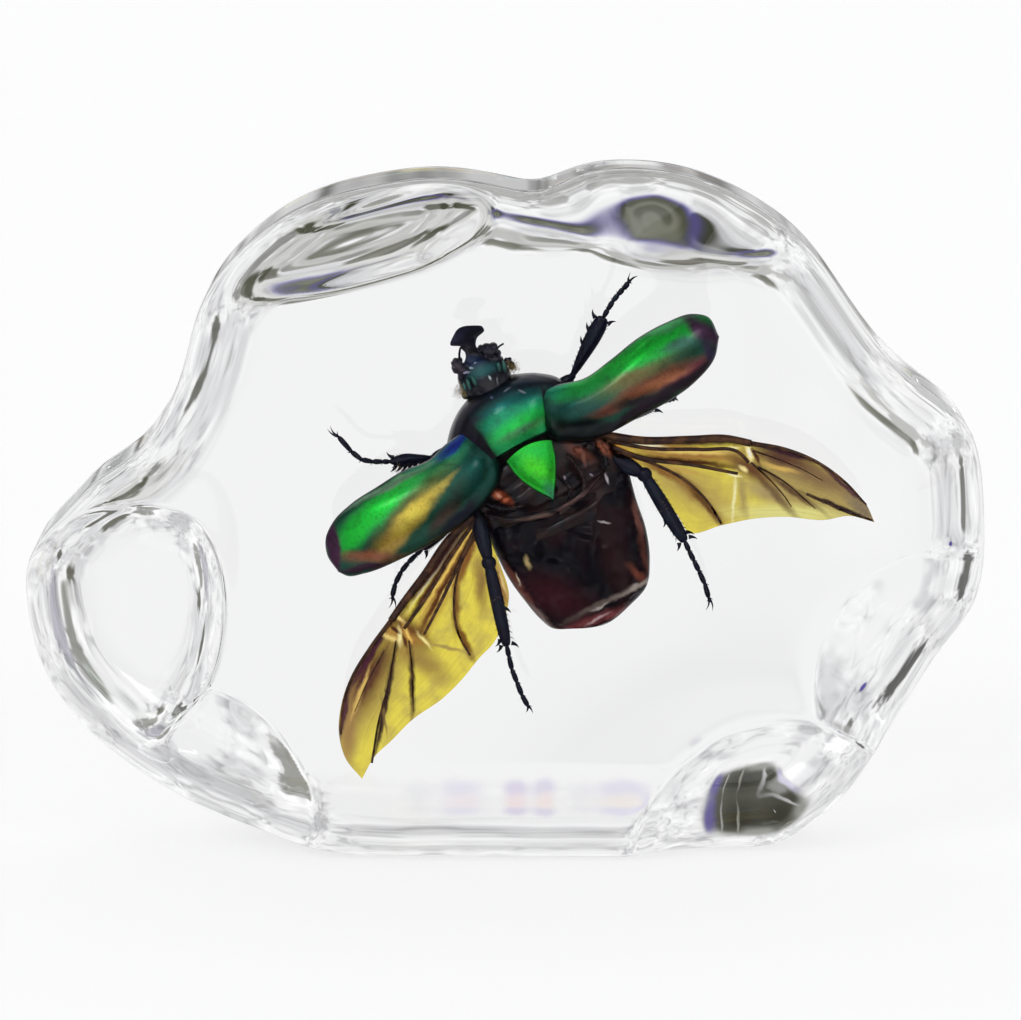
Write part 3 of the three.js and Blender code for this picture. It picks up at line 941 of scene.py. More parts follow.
# Ridges behind the scutellum, each a path on the sheet with heights and a radius.
RIDGES = [
    ([(486, 513, 3.0), (506, 519, 4.1), (526, 517, 4.6), (548, 512, 4.8), (570, 502, 4.6), (592, 484, 4.0),
      (604, 470, 3.0)], 0.42),
    ([(488, 503, 3.4), (505, 508, 4.3), (524, 505, 4.5)], 0.3),
    ([(566, 455, 4.6), (578, 468, 4.7), (584, 484, 4.5), (577, 498, 4.4)], 0.3),
    ([(562, 478, 4.8), (570, 488, 4.8), (566, 500, 4.6)], 0.24),
    ([(596, 440, 3.4), (604, 455, 3.9), (606, 472, 3.6)], 0.36),
]
# Hinges of the wings: a place on the sheet with its height, and a radius.
HINGES = [
    ((497, 495, 3.6), 0.75), ((506, 500, 3.8), 0.5), ((578, 450, 4.0), 0.6), ((590, 447, 3.8), 0.7),
    ((604, 446, 3.2), 0.6), ((486, 508, 2.8), 0.6),
]


def thorax_ridges():
    """The raised plates behind the scutellum, as bent ridges, and the small hinges of the wings."""
    stations = 60
    waver = 1 + 0.22 * np.sin(np.linspace(0, 19, stations)) + 0.15 * np.sin(np.linspace(0, 43, stations))
    ends = dome(np.linspace(0.01, 0.99, stations), 0.3)
    solids = [tube(along(raised(path), np.linspace(0, 1, stations)), radius * waver * ends)
              for path, radius in RIDGES]
    solids += [ball(raised([place])[0], (size, 0.6 * size, 0.8 * size), 0.06) for place, size in HINGES]
    return solids


MEMBRANE_THICKNESS = 0.08  # millimetres, in the middle of the wing


def wing_height(u, v, turn):
    """The membrane's lift: pleats that fan out from the base, and a sharp crumple across the fold joint."""
    wave = 2.3 * v + 0.4 * u + turn / (2 * np.pi)
    pleats = 0.9 * np.abs(wave % 1.0 - 0.5) * dome(u, 0.4)
    crumple = 0.7 * bell(u, 0.53, 0.05) * np.abs((4.5 * v + turn) % 1.0 - 0.5)
    return profile([2.4, 1.9, 1.4, 1.6, 1.1, 0.8, 0.6], u) + (pleats + crumple - 0.3) * dome(v, 0.3)


def wing_solid(edges, turn):
    """A folded membrane, thinner towards its edges."""
    def half(v):
        return MEMBRANE_THICKNESS / 2 * dome(v, 0.2)

    return shell(*edges, lambda u, v: wing_height(u, v, turn) + half(v),
                 lambda u, v: wing_height(u, v, turn) - half(v), 200, 110)


# Veins on the sheet, each with a radius at its root and at its end, in millimetres.
RIGHT_VEINS = [
    ([(600, 434), (641, 440), (690, 439), (725, 438), (750, 443)], 0.5, 0.42),
    ([(750, 443), (784, 449), (815, 461), (845, 482), (866, 504)], 0.3, 0.1),
    ([(606, 440), (650, 448), (700, 449), (738, 452), (748, 462)], 0.24, 0.2),
    ([(612, 447), (640, 457), (690, 464), (737, 473)], 0.3, 0.18),
    ([(620, 452), (655, 464), (688, 482), (711, 506), (721, 523)], 0.22, 0.14),
    ([(750, 462), (768, 478), (785, 497), (791, 506)], 0.14, 0.06),
    ([(757, 466), (785, 482), (806, 500), (815, 508)], 0.13, 0.05),
    ([(806, 493), (828, 503), (848, 512), (872, 519)], 0.16, 0.1),
    ([(752, 450), (775, 458), (800, 468), (822, 480)], 0.1, 0.04),
]
LEFT_VEINS = [
    ([(474, 515), (448, 540), (426, 572), (402, 604), (391, 620)], 0.5, 0.42),
    ([(391, 620), (370, 648), (352, 677), (342, 708), (340, 735)], 0.3, 0.1),
    ([(476, 519), (448, 560), (424, 600), (404, 628)], 0.24, 0.2),
    ([(478, 523), (458, 565), (440, 603), (424, 634)], 0.28, 0.16),
    ([(478, 532), (460, 566), (454, 600), (458, 632), (470, 655)], 0.16, 0.13),
    ([(409, 640), (412, 672), (413, 712)], 0.11, 0.05),
    ([(396, 640), (389, 680), (378, 722), (371, 764)], 0.09, 0.13),
    ([(384, 650), (366, 684), (354, 712)], 0.1, 0.04),
]


def wing_lift(edges, turn, plan):
    """The membrane's height at sheet places, from the nearest point of a grid over the wing."""
    u, v = np.meshgrid(np.linspace(0, 1, 120), np.linspace(0, 1, 60), indexing="ij")
    u, v = u.ravel(), v.ravel()
    grid = along(sheet(edges[0]), u) * (1 - v[:, None]) + along(sheet(edges[1]), u) * v[:, None]
    nearest = ((plan[:, None] - grid[None]) ** 2).sum(-1).argmin(1)
    return wing_height(u[nearest], v[nearest], turn)


def vein_solids(veins, edges, turn):
    """Veins as flattened tubes that lie on the membrane, at its height averaged over a short stretch."""
    stations, window = 50, 9
    solids = []
    for points, thick, thin in veins:
        plan = along(sheet(points), np.linspace(0, 1, stations))
        lift = np.pad(wing_lift(edges, turn, plan), window // 2, "edge")
        lift = np.convolve(lift, np.ones(window) / window, "valid")
        path = np.stack([plan[:, 0], -lift, plan[:, 1]], -1)
        solids.append(tube(path, np.linspace(thick, thin, stations), 10, 0.6))
    return solids


def segment(start, end, radii, rows=24, spokes=14, flatten=0.8):
    """One straight leg segment with a smooth profile of radii and rounded ends."""
    share = eased(rows, 0.03)
    path = start + share[:, None] * (end - start)
    return tube(path, profile(radii, share) * dome(share, 0.28), spokes, flatten)


def spike(start, end, radius):
    """A tapering, slightly bent spine."""
    share = np.linspace(0, 1, 8)
    bend = np.cross(end - start, (0.0, 1.0, 0.0)) * 0.12
    path = start + share[:, None] * (end - start) + np.sin(np.pi * share)[:, None] * bend
    return tube(path, radius * (1.02 - share), 6)


# Each leg: thigh root and knee, ankle, the foot's points, claw tips, teeth (along the shin, side), thigh
# radius and shin radii in millimetres.
LEGS = {
    "leg_right_front": ([(548, 400, -1.6), (572, 376, -0.6)], (603, 318, 0.2),
                        [(607, 311, 0.3), (612, 303, 0.4), (617, 297, 0.5), (622, 292, 0.5), (627, 287, 0.6)],
                        [(628, 280, 1.0), (636, 283, 0.8)], [(0.5, 1), (0.72, 1), (0.93, 1), (0.93, -1)],
                        0.95, [0.38, 0.66, 0.95, 1.2]),
    "leg_left_front": ([(468, 446, -1.6), (432, 457, -0.6)], (390, 461, 0.2),
                       [(383, 461, 0.3), (373, 461, 0.4), (362, 459, 0.5), (352, 451, 0.5), (339, 436, 0.6)],
                       [(328, 428, 1.0), (331, 425, 0.8)],
                       [(0.25, 1), (0.38, 1), (0.5, 1), (0.62, 1), (0.74, 1), (0.86, 1), (0.9, -1)],
                       0.85, [0.3, 0.55, 0.8, 0.55]),
    "leg_right_middle": ([(560, 452, -3.5), (612, 424, -2.6)], (655, 405, -1.6),
                         [(658, 403, -1.5), (663, 401, -1.4), (667, 400, -1.3), (671, 399, -1.2),
                          (674, 398, -1.1)],
                         [(678, 401, -1.0), (679, 394, -0.8)], [(0.95, 1), (0.95, -1)],
                         0.9, [0.4, 0.5, 0.6, 0.7]),
    "leg_left_middle": ([(492, 500, -3.5), (452, 525, -2.6)], (422, 548, -1.6),
                        [(416, 554, -1.5), (408, 562, -1.3), (401, 571, -1.2), (395, 583, -1.1),
                         (392, 596, -1.0)],
                        [(388, 608, -0.8), (395, 609, -0.7)], [(0.95, 1), (0.95, -1)],
                        0.9, [0.4, 0.5, 0.6, 0.7]),
    "leg_right_hind": ([(606, 454, 1.2), (644, 474, 1.6)], (685, 541, 1.2),
                       [(689, 550, 1.1), (694, 560, 1.0), (699, 570, 0.9), (705, 583, 0.8), (709, 597, 0.7)],
                       [(713, 611, 0.6), (706, 610, 0.6)], [(0.62, -1), (0.97, 1), (0.97, -1), (0.9, 1)],
                       1.0, [0.8, 0.8, 0.84, 0.92]),
    "leg_left_hind": ([(474, 502, 1.4), (489, 562, 2.4)], (507, 646, 2.0),
                      [(509, 656, 1.8), (512, 669, 1.6), (517, 682, 1.4), (522, 695, 1.2), (528, 706, 1.0)],
                      [(533, 714, 0.8), (526, 713, 0.8)], [(0.55, 1), (0.97, 1), (0.97, -1), (0.9, -1)],
                      0.95, [0.78, 0.78, 0.78, 0.86]),
}


def leg_solids(thigh, ankle, foot, claws, teeth, thigh_radius, shin_radii):
    """A leg: thick thigh, shin with teeth and short bristles, five foot joints with spurs, and two claws."""
    root, knee = raised(thigh)
    heel = raised([ankle])[0]
    joints = raised(foot)
    solids = [segment(root, knee, thigh_radius * np.array([0.8, 1.0, 0.95, 0.8])),
              ball(knee, (1.1 * shin_radii[0], 0.8 * shin_radii[0], 1.1 * shin_radii[0])),
              segment(knee - 0.06 * (heel - knee), heel, shin_radii, rows=40, flatten=0.6)]
    shin = heel - knee
    forward = shin / np.linalg.norm(shin)
    side = np.cross(forward, (0.0, 1.0, 0.0))

    def shin_spike(share, way, seat, out, ahead, radius):
        """A spine on one side of the shin, seated at a share of the shin's radius there."""
        shin_radius = np.interp(share, np.linspace(0, 1, 4), shin_radii)
        start = knee + share * shin + side * way * seat * shin_radius
        return spike(start, start + side * way * out + forward * ahead, radius)

    for share, way in teeth:
        solids.append(shin_spike(share, way, seat=0.7, out=0.75, ahead=0.75, radius=0.28))
    for share in np.linspace(0.12, 0.9, 12):
        for way in (1, -1):
            solids.append(shin_spike(share, way, seat=0.8, out=0.28, ahead=0.4, radius=0.06))
    for here, there in zip([heel, *joints[:-1]], joints):
        step = there - here
        solids.append(segment(here - 0.12 * step, there, [0.27, 0.29, 0.33, 0.37], rows=14, spokes=10))
        across = np.cross(step / np.linalg.norm(step), (0.0, 1.0, 0.0))
        for way in (1, -1):
            solids.append(spike(there, there + way * 0.42 * across + 0.25 * step, 0.1))
    for claw in raised(claws):
        solids.append(spike(joints[-1], claw, 0.17))
    return solids


# Lumps of the head: a place on the sheet with its height, and radii in millimetres.
HEAD_LUMPS = [
    ((490, 352, 2.3), (1.15, 0.85, 1.0)), ((495, 359, 2.0), (0.95, 0.9, 1.0)),
    ((458, 366, 2.2), (0.75, 0.8, 0.95)), ((464, 370, 2.2), (0.9, 0.8, 0.9)),
    ((483, 351, 2.1), (0.7, 0.7, 0.7)), ((508, 362, 1.4), (0.55, 0.5, 0.5)),
    ((512, 366, 1.2), (0.4, 0.4, 0.42)), ((467, 395, 1.0), (0.6, 0.5, 0.5)),
]


def head_solids():
    """A small boxy head between two lobes, and a forked, axe-like horn that leans up and forwards."""
    def upper(u, v):
        return profile([3.4, 3.3, 3.0, 2.8, 2.4, 1.6], u) * dome(v, 0.3)

    def lower(u, v):
        return -profile([2.0, 2.7, 2.6, 2.0, 1.4, 0.8], u) * dome(v, 0.5)

    def horn_rise(u, v):
        return profile([2.2, 3.0, 3.5, 3.9, 4.3, 4.5], u) + 0.35 * np.abs(2 * v - 1) ** 2 * u

    horn = shell(*HORN, lambda u, v: horn_rise(u, v) + 0.4 * dome(v, 0.5),
                 lambda u, v: horn_rise(u, v) - 0.4 * dome(v, 0.5), 80, 30)
    lumps = [ball(raised([place])[0], radii, 0.09) for place, radii in HEAD_LUMPS]
    return [shell(*HEAD, upper, lower, 60, 50), horn, *lumps]


# Shining plates beside and under the eyes: both ends on the sheet, and a half width in squares.
FACETS = [
    (498, 363, 501, 373, 2.2), (503, 361, 506, 373, 2.0), (467, 379, 471, 390, 2.0),
    (472, 376, 477, 386, 2.2), (464, 383, 466, 391, 1.5),
]
FACET_HEIGHT = 3.0


def eye_solids():
    """The shining plates as short round segments."""
    solids = []
    for x0, y0, x1, y1, half in FACETS:
        ends = raised([(x0, y0, FACET_HEIGHT), (x1, y1, FACET_HEIGHT)])
        solids.append(segment(*ends, np.full(4, half * SQUARE), rows=20, flatten=1.0))
    return solids


# The right feeler, and the left one's elbow and loop: a path on the sheet with heights, and a radius.
FEELERS = [
    ([(497, 350, 2.4), (499, 347.5, 2.6), (503.7, 344.4, 2.8)], 0.11),
    ([(466, 352, 3.0), (461.5, 348.5, 3.0), (460, 353.5, 2.8), (459.8, 359, 2.6)], 0.13),
    ([(459, 376, 2.2), (461, 381, 2.2), (464, 379, 2.4), (463, 376, 2.4)], 0.09),
]


def feeler_solids():
    """The feelers as thin tubes."""
    stations = 24
    return [tube(along(raised(path), np.linspace(0, 1, stations)), np.full(stations, radius), 8)
            for path, radius in FEELERS]


def hair_solid(roots, ways, lengths, radius=0.022):
    """Many short bent hairs: a three-sided taper carried along a bent line, all worked out at once."""
    stations, sides = 4, 3
    share = np.linspace(0, 1, stations)
    ways = ways / np.linalg.norm(ways, axis=1)[:, None]
    side = np.cross(ways, (0.0, 1.0, 0.0))
    side /= np.linalg.norm(side, axis=1)[:, None] + 1e-9
    other = np.cross(side, ways)
    bend = (share**2)[None, :, None] * (0.3 * lengths)[:, None, None] * side[:, None]
    path = roots[:, None] + share[None, :, None] * (ways * lengths[:, None])[:, None] + bend
    turn = np.arange(sides) / sides * 2 * np.pi
    ring = np.cos(turn)[:, None] * side[:, None] + np.sin(turn)[:, None] * other[:, None]
    rings = path[:, :, None] + (radius * (1.05 - share))[None, :, None, None] * ring[:, None]
    vertices = rings.reshape(-1, 3)
    i = np.arange(sides)
    after = (i + 1) % sides
    start = (np.arange(stations - 1) * sides)[:, None]
    corners = [start + i, start + sides + i, start + sides + after, start + after]
    quads = np.stack(corners, -1).reshape(-1, 4)
    last = stations * sides - 1
    caps = np.array([[0, 1, 2], [last, last - 1, last - 2]])
    step = (np.arange(len(roots)) * stations * sides)[:, None, None]
    return vertices, np.zeros_like(vertices), (quads + step).reshape(-1, 4), (caps + step).reshape(-1, 3)


# Tufts: middle on the sheet with height, spread, direction on the sheet (right, up), length, share of hairs.
TUFTS = [
    ((463, 390, 1.4), 0.8, (-1.0, -0.5), 0.4, 0.25),
    ((512, 368, 1.4), 0.7, (0.9, 0.5), 0.4, 0.25),
    ((400, 466, 0.0), 0.9, (-0.3, -1.0), 0.5, 0.1),
    ((664, 505, 1.4), 1.0, (1.0, 0.4), 0.35, 0.06),
    ((497, 600, 2.0), 1.0, (-1.0, 0.1), 0.35, 0.06),
]


def tuft_solids(count):
    """The hairs of each tuft, scattered round its middle and round its direction."""
    rng = np.random.default_rng(7)
    solids = []
    for middle, spread, way, length, share in TUFTS:
        number = int(count * share)
        roots = raised([middle])[0] + rng.normal(0, spread / 2, (number, 3))
        ways = np.array([way[0], 0.0, way[1]]) + rng.normal(0, 0.35, (number, 3))
        solids.append(hair_solid(roots, ways, length * rng.uniform(0.6, 1.2, number)))
    return solids


# ---------------------------------------------------------------- the set, which is no part of the object

OLIVE = (0.075, 0.08, 0.05)
SMOKE = (0.30, 0.30, 0.29)
PALE = (0.93, 0.93, 0.93)
INK = (0.11, 0.09, 0.38)
# The tent's ground and the streaks that shade it, as colours by the value of a noise.
SCENERY = [
    (0.0, (0.52, 0.52, 0.53)), (0.4, (0.76, 0.76, 0.77)), (0.52, (0.94, 0.94, 0.94)),
    (1.0, (1.06, 1.06, 1.06)),
]
STREAKS = [
    (0.30, (0.66, 0.66, 0.67)), (0.44, (0.94, 0.94, 0.94)), (0.56, (1, 1, 1)), (0.72, (1.12, 1.12, 1.12)),
]
# Patches are soft ellipses in the ray direction's x and z, alike in front and behind: middle, half sizes, how
# ragged, colour. A patch begins and is whole at these shares of its half sizes.
PATCH_FADE = (1.35, 0.65)
TENT_PATCHES = [
    (0.10, -0.40, 0.09, 0.10, 0.5, (0.64, 0.64, 0.62)),
    (0.0, -0.78, 0.35, 0.16, 0.5, (0.45, 0.45, 0.44)),
    (-0.17, -0.30, 0.035, 0.05, 0.3, (0.55, 0.55, 0.55)),
    (-0.02, -0.33, 0.09, 0.035, 0.6, (0.55, 0.55, 0.53)),
    (-0.035, -0.272, 0.028, 0.022, 0.4, (0.19, 0.195, 0.155)),
    (0.19, -0.405, 0.026, 0.02, 0.3, SMOKE),
    (0.125, -0.425, 0.040, 0.022, 0.3, OLIVE),
    (0.068, -0.40, 0.030, 0.022, 0.3, OLIVE),
    (0.01, -0.495, 0.03, 0.014, 0.3, OLIVE),
    (0.055, -0.478, 0.04, 0.009, 0.3, (0.34, 0.34, 0.38)),
    (-0.008, -0.35, 0.022, 0.018, 0.3, (0.30, 0.30, 0.28)),
    (0.03, -0.385, 0.03, 0.018, 0.3, (0.16, 0.16, 0.13)),
    (-0.035, -0.470, 0.060, 0.034, 0.05, INK),
    (-0.035, -0.470, 0.050, 0.026, 0.1, OLIVE),
    (-0.034, -0.466, 0.032, 0.015, 0.3, (0.17, 0.175, 0.13)),
    (-0.032, -0.464, 0.016, 0.007, 0.3, OLIVE),
    (0.35, -0.04, 0.06, 0.12, 0.3, (0.50, 0.49, 0.54)),
    (0.25, -0.04, 0.045, 0.08, 0.3, (0.34, 0.34, 0.32)),
    (0.18, -0.17, 0.03, 0.035, 0.3, (0.17, 0.17, 0.14)),
    (0.31, -0.28, 0.03, 0.05, 0.3, (0.16, 0.16, 0.14)),
    (-0.33, -0.38, 0.05, 0.08, 0.3, (0.62, 0.62, 0.62)),
    (-0.36, -0.22, 0.02, 0.06, 0.3, (0.22, 0.22, 0.21)),
    (-0.26, -0.12, 0.013, 0.018, 0.0, INK),
    (0.16, 0.22, 0.09, 0.08, 0.3, (0.62, 0.62, 0.63)),
    (-0.42, 0.06, 0.05, 0.09, 0.3, (0.13, 0.13, 0.125)),
]
CLEAR_PATCHES = [
    (-0.03, -0.14, 0.11, 0.10, 0.0, PALE),
    (-0.02, 0.06, 0.06, 0.10, 0.0, PALE),
    (0.70, -0.17, 0.10, 0.20, 0.0, PALE),
    (-0.70, -0.17, 0.10, 0.20, 0.0, PALE),
    (0.98, -0.17, 0.12, 0.22, 0.0, PALE),
    (-0.98, -0.17, 0.12, 0.22, 0.0, PALE),
]
# What the rims show of rays that the wall has turned back once.
WALL_LEVEL = (0.85, 0.85, 0.85)
WALL_PATCHES = [
    (-0.18, -0.30, 0.11, 0.08, 0.5, (0.20, 0.20, 0.18)),
    (-0.12, -0.33, 0.03, 0.03, 0.5, (0.11, 0.115, 0.09)),
    (-0.22, -0.30, 0.03, 0.02, 0.5, (0.12, 0.12, 0.11)),
]
# The card behind the block, in millimetres: its distance, its left and right side, its lower and upper edge.
CARD_DISTANCE = 22.0
CARD_SIDES = (-18.0, 38.0)
CARD_EDGES = (2.0, 18.0)
# Shapes on it: both ends in x and z, half width, softness, colour. They are painted reflections: seen only
# through the resin, they put dark streaks into the lower right rim and lilac and pink bands into the base.
CARD_SHAPES = [
    (24.8, 6.4, 29.0, 6.4, 3.7, 0.35, (0.12, 0.12, 0.095)),
    (22.3, 6.8, 22.8, 8.4, 1.0, 0.7, (0.15, 0.13, 0.33)),
    (26.0, 7.2, 28.6, 7.4, 1.5, 0.9, (0.045, 0.045, 0.035)),
    (30.2, 7.4, 30.6, 8.6, 1.0, 0.8, (0.07, 0.07, 0.055)),
    (24.3, 6.2, 24.8, 9.0, 0.14, 0.9, (0.38, 0.38, 0.37)),
    (27.0, 6.6, 27.4, 9.6, 0.12, 0.9, (0.32, 0.31, 0.27)),
    (29.5, 6.6, 29.9, 9.4, 0.17, 0.9, (0.52, 0.52, 0.52)),
    (28.9, 9.3, 30.0, 9.6, 0.8, 0.9, (0.32, 0.32, 0.29)),
    (31.4, 7.0, 31.8, 9.0, 0.3, 0.8, (0.50, 0.48, 0.62)),
    (-11.4, 4.8, -9.4, 4.8, 0.8, 0.7, (0.88, 0.88, 0.89)),
    (-7.4, 5.0, -3.0, 5.0, 0.7, 0.7, (0.83, 0.81, 0.89)),
    (-7.0, 4.2, -3.2, 4.2, 0.45, 0.8, (0.91, 0.84, 0.87)),
    (0.4, 5.0, 2.4, 5.0, 0.7, 0.6, (0.76, 0.72, 0.84)),
    (0.3, 4.2, 2.5, 4.2, 0.45, 0.8, (0.92, 0.80, 0.81)),
    (3.9, 5.0, 5.6, 5.0, 0.7, 0.6, (0.77, 0.74, 0.85)),
    (3.9, 4.2, 5.6, 4.2, 0.45, 0.8, (0.93, 0.83, 0.81)),
    (8.0, 4.8, 10.0, 4.8, 0.6, 0.7, (0.88, 0.88, 0.90)),
    (11.4, 5.0, 16.4, 5.0, 0.7, 0.6, (0.81, 0.79, 0.89)),
    (11.4, 4.2, 16.4, 4.2, 0.45, 0.8, (0.92, 0.87, 0.83)),
]
# What the sealed beetle is lit by: a dim room with a broad soft light in front and two windows.
ROOM_LEVEL = (0.22, 0.22, 0.24)
ROOM_PATCHES = [
    (-0.05, -0.02, 0.75, 0.72, 0.0, (0.75, 0.75, 0.77)),
    (-0.08, 0.0, 0.5, 0.48, 0.0, (1.25, 1.25, 1.25)),
    (-0.55, 0.55, 0.16, 0.13, 0.0, (6.0, 6.0, 6.0)),
    (0.62, 0.45, 0.10, 0.16, 0.0, (5.0, 5.0, 5.0)),
]
# What the outside of the block mirrors: a dark room with long windows, and a bright wall behind it.
FAR_WALL = [(0.3, (0.28, 0.28, 0.27)), (0.5, (0.78, 0.78, 0.78)), (0.62, (1, 1, 1))]
MIRROR_LEVEL = (0.03, 0.03, 0.035)
MIRROR_PATCHES = [
    (-0.62, 0.35, 0.07, 0.45, 0.0, (2.0, 2.0, 2.0)),
    (0.72, 0.25, 0.05, 0.45, 0.0, (2.0, 2.0, 2.0)),
    (0.0, 0.86, 0.5, 0.08, 0.0, (2.0, 2.0, 2.0)),
]
TABLE_REACH = 3.0  # metres from the middle to each side
TABLE_GLOW = 0.72
SENSOR_WIDTH = 36.0  # millimetres, as on a full-frame camera
CAMERA_AIM = (0.0007, 0.0, 0.0395)  # metres: a little right of the block's middle, at half its height


def patched(tree, direction, waver, level, patches):
    """Lays soft elliptical patches over a colour, each over the last, with edges broken up by the waver."""
    for x, z, half_x, half_z, ragged, colour in patches:
        place = vector_math(tree, "MULTIPLY_ADD", direction, (1 / half_x, 0, 1 / half_z),
                            (-x / half_x, 0, -z / half_z))
        length = math_node(tree, "MULTIPLY_ADD", waver, ragged, vector_math(tree, "LENGTH", place))
        level = mixed(tree, faded(tree, length, *PATCH_FADE), level, colour)
    return level


def light_tent(scene):
    """Four kinds of ray meet four worlds: plain white for the camera, a dark room for what the outside
    mirrors, a soft room for what the beetle reflects, and a tent with patches for what the rims bend."""
    world = bpy.data.worlds.new("light_tent")
    scene.world = world
    world.use_nodes = True
    world.cycles.sampling_method = "NONE"
    tree = world.node_tree
    direction = node(tree, "TexCoord").outputs["Generated"]
    flat = vector_math(tree, "MULTIPLY", direction, (1, 0, 1))
    waver = math_node(tree, "MULTIPLY_ADD", noise_texture(tree, flat, 22.0, 1.0, 0.8)[0], 5.0, -2.5)

    def backdrop(colour):
        return node(tree, "Background", {"Color": colour}).outputs[0]

    def either(factor, below, above):
        return node(tree, "MixShader", {0: factor, 1: below, 2: above}).outputs[0]

    def hung(level, patches):
        return patched(tree, direction, waver, level, patches)

    ground = ramp(tree, noise_texture(tree, flat, 6.0, 1.0, 0.6)[0], SCENERY)
    streaks = ramp(tree, noise_texture(tree, flat, 17.0, 1.5, 1.0)[0], STREAKS)
    tent = hung(mixed(tree, 1.0, hung(ground, TENT_PATCHES), streaks, "MULTIPLY"), CLEAR_PATCHES)
    wall = mixed(tree, 1.0, hung(WALL_LEVEL, WALL_PATCHES), streaks, "MULTIPLY")
    room = hung(ROOM_LEVEL, ROOM_PATCHES)
    mirror = hung(MIRROR_LEVEL, MIRROR_PATCHES)
    far = ramp(tree, noise_texture(tree, flat, 24.0, 1.0)[0], FAR_WALL)
    away = node(tree, "SeparateXYZ", {0: direction}).outputs[1]
    path = node(tree, "LightPath").outputs
    bounced = math_node(tree, "ADD", path["Glossy Depth"], path["Diffuse Depth"])
    turned = either(faded(tree, away, 0.15, 0.4), backdrop(room), backdrop(wall))
    inner = either(math_node(tree, "GREATER_THAN", bounced, 0.5), backdrop(tent), turned)
    outer = either(faded(tree, away, -0.3, 0.5), backdrop(mirror), backdrop(far))
    mirrored = math_node(tree, "MULTIPLY", path["Is Reflection Ray"], path["Is Singular Ray"])
    whole = either(path["Is Camera Ray"], either(mirrored, inner, outer), backdrop(rgba((1, 1, 1))))
    tree.links.new(whole, tree.nodes["World Output"].inputs["Surface"])


def flat_piece(scene, name, corners, material):
    """One four-cornered face."""
    mesh = bpy.data.meshes.new(name)
    mesh.from_pydata(corners, [], [(0, 1, 2, 3)])
    mesh.materials.append(material)
    piece = bpy.data.objects.new(name, mesh)
    scene.collection.objects.link(piece)
    return piece


def table_top(scene):
    """A pale glowing table, so that the block's shadow stays faint."""
    material, _, _ = finish("table", (0.4, 0.4, 0.4), roughness=0.9, **{
        "Specular IOR Level": 0.0, "Emission Color": (1, 1, 1, 1), "Emission Strength": TABLE_GLOW})
    corners = [(x * TABLE_REACH, y * TABLE_REACH, 0) for x, y in ((-1, -1), (1, -1), (1, 1), (-1, 1))]
    table = flat_piece(scene, "table", corners, material)
    table.visible_transmission = False
    table.visible_glossy = False


def card_material():
    """Clear, with soft shapes that glow in their own colours, their outlines shifted by a noise."""
    material = bpy.data.materials.new("scenery_card")
    material.use_nodes = True
    tree = material.node_tree
    x, _, z = node(tree, "SeparateXYZ", {0: object_place(tree)}).outputs
    right, up = (math_node(tree, "DIVIDE", side, MM) for side in (x, z))
    place = node(tree, "CombineXYZ", {0: right, 1: up}).outputs[0]
    noise = noise_texture(tree, place, 0.5, 3.0)[1]
    shift = vector_math(tree, "MULTIPLY_ADD", noise, (0.9, 0.6, 0), (-0.45, -0.3, 0))
    place = vector_math(tree, "ADD", place, shift)
    cover = painted(tree, place, (0, 0, 0), [(*shape[:6], (1, 1, 1)) for shape in CARD_SHAPES])
    glow = node(tree, "Emission", {"Color": painted(tree, place, PALE, CARD_SHAPES)}).outputs[0]
    clear = node(tree, "BsdfTransparent").outputs[0]
    both = node(tree, "MixShader", {0: cover, 1: clear, 2: glow}).outputs[0]
    tree.links.new(both, tree.nodes["Material Output"].inputs["Surface"])
    return material


def scenery_card(scene):
    """A clear card close behind the block with soft dark and pastel shapes, met only by light from it."""
    left, right = (side * MM for side in CARD_SIDES)
    low, high = (edge * MM for edge in CARD_EDGES)
    back = CARD_DISTANCE * MM
    corners = [(left, back, low), (right, back, low), (right, back, high), (left, back, high)]
    card = flat_piece(scene, "scenery_card", corners, card_material())
    card.visible_camera = False
    card.visible_glossy = False
    card.visible_diffuse = False
    card.visible_shadow = False


def camera_stand(scene, settings):
    """A long lens straight in front of the block and a little above it."""
    data = bpy.data.cameras.new("camera")
    camera = bpy.data.objects.new("camera", data)
    scene.collection.objects.link(camera)
    scene.camera = camera
    data.sensor_width = SENSOR_WIDTH
    data.lens = SENSOR_WIDTH * settings.distance / settings.view_width
    aim = Vector(CAMERA_AIM)
    lift = settings.elevation
    camera.location = aim + settings.distance * Vector((0, -math.cos(lift), math.sin(lift)))
    camera.rotation_mode = "QUATERNION"
    camera.rotation_quaternion = (aim - camera.location).to_track_quat("-Z", "Y")


# ---------------------------------------------------------------- settings, operators and panel

class SPECIMEN_PG_resin(bpy.types.PropertyGroup):
    """The cast block's finish."""
    index: FloatProperty(name="Index", description="How strongly the resin bends light", default=1.49,
                         min=1.0, max=2.0)
    density: FloatProperty(name="Tint Density", description="How fast the tint builds up with depth",
                           default=12.0, min=0.0)
    tint: FloatVectorProperty(name="Tint", description="Colour of the resin over long paths", subtype="COLOR",
                              size=3, default=(0.955, 0.965, 0.97), min=0.0, max=1.0)


class SPECIMEN_PG_beetle(bpy.types.PropertyGroup):
    """The beetle's colours and hair."""
    green: FloatVectorProperty(name="Green", description="Brightest green of the shell", subtype="COLOR",
                               size=3, default=(0.02, 0.72, 0.04), min=0.0, max=1.0)
    membrane: FloatVectorProperty(name="Membrane", description="Clear amber of the wings", subtype="COLOR",
                                  size=3, default=(0.85, 0.72, 0.1), min=0.0, max=1.0)
    hairs: IntProperty(name="Hairs", description="Number of hairs in all tufts", default=900, min=0,
                       max=5000)


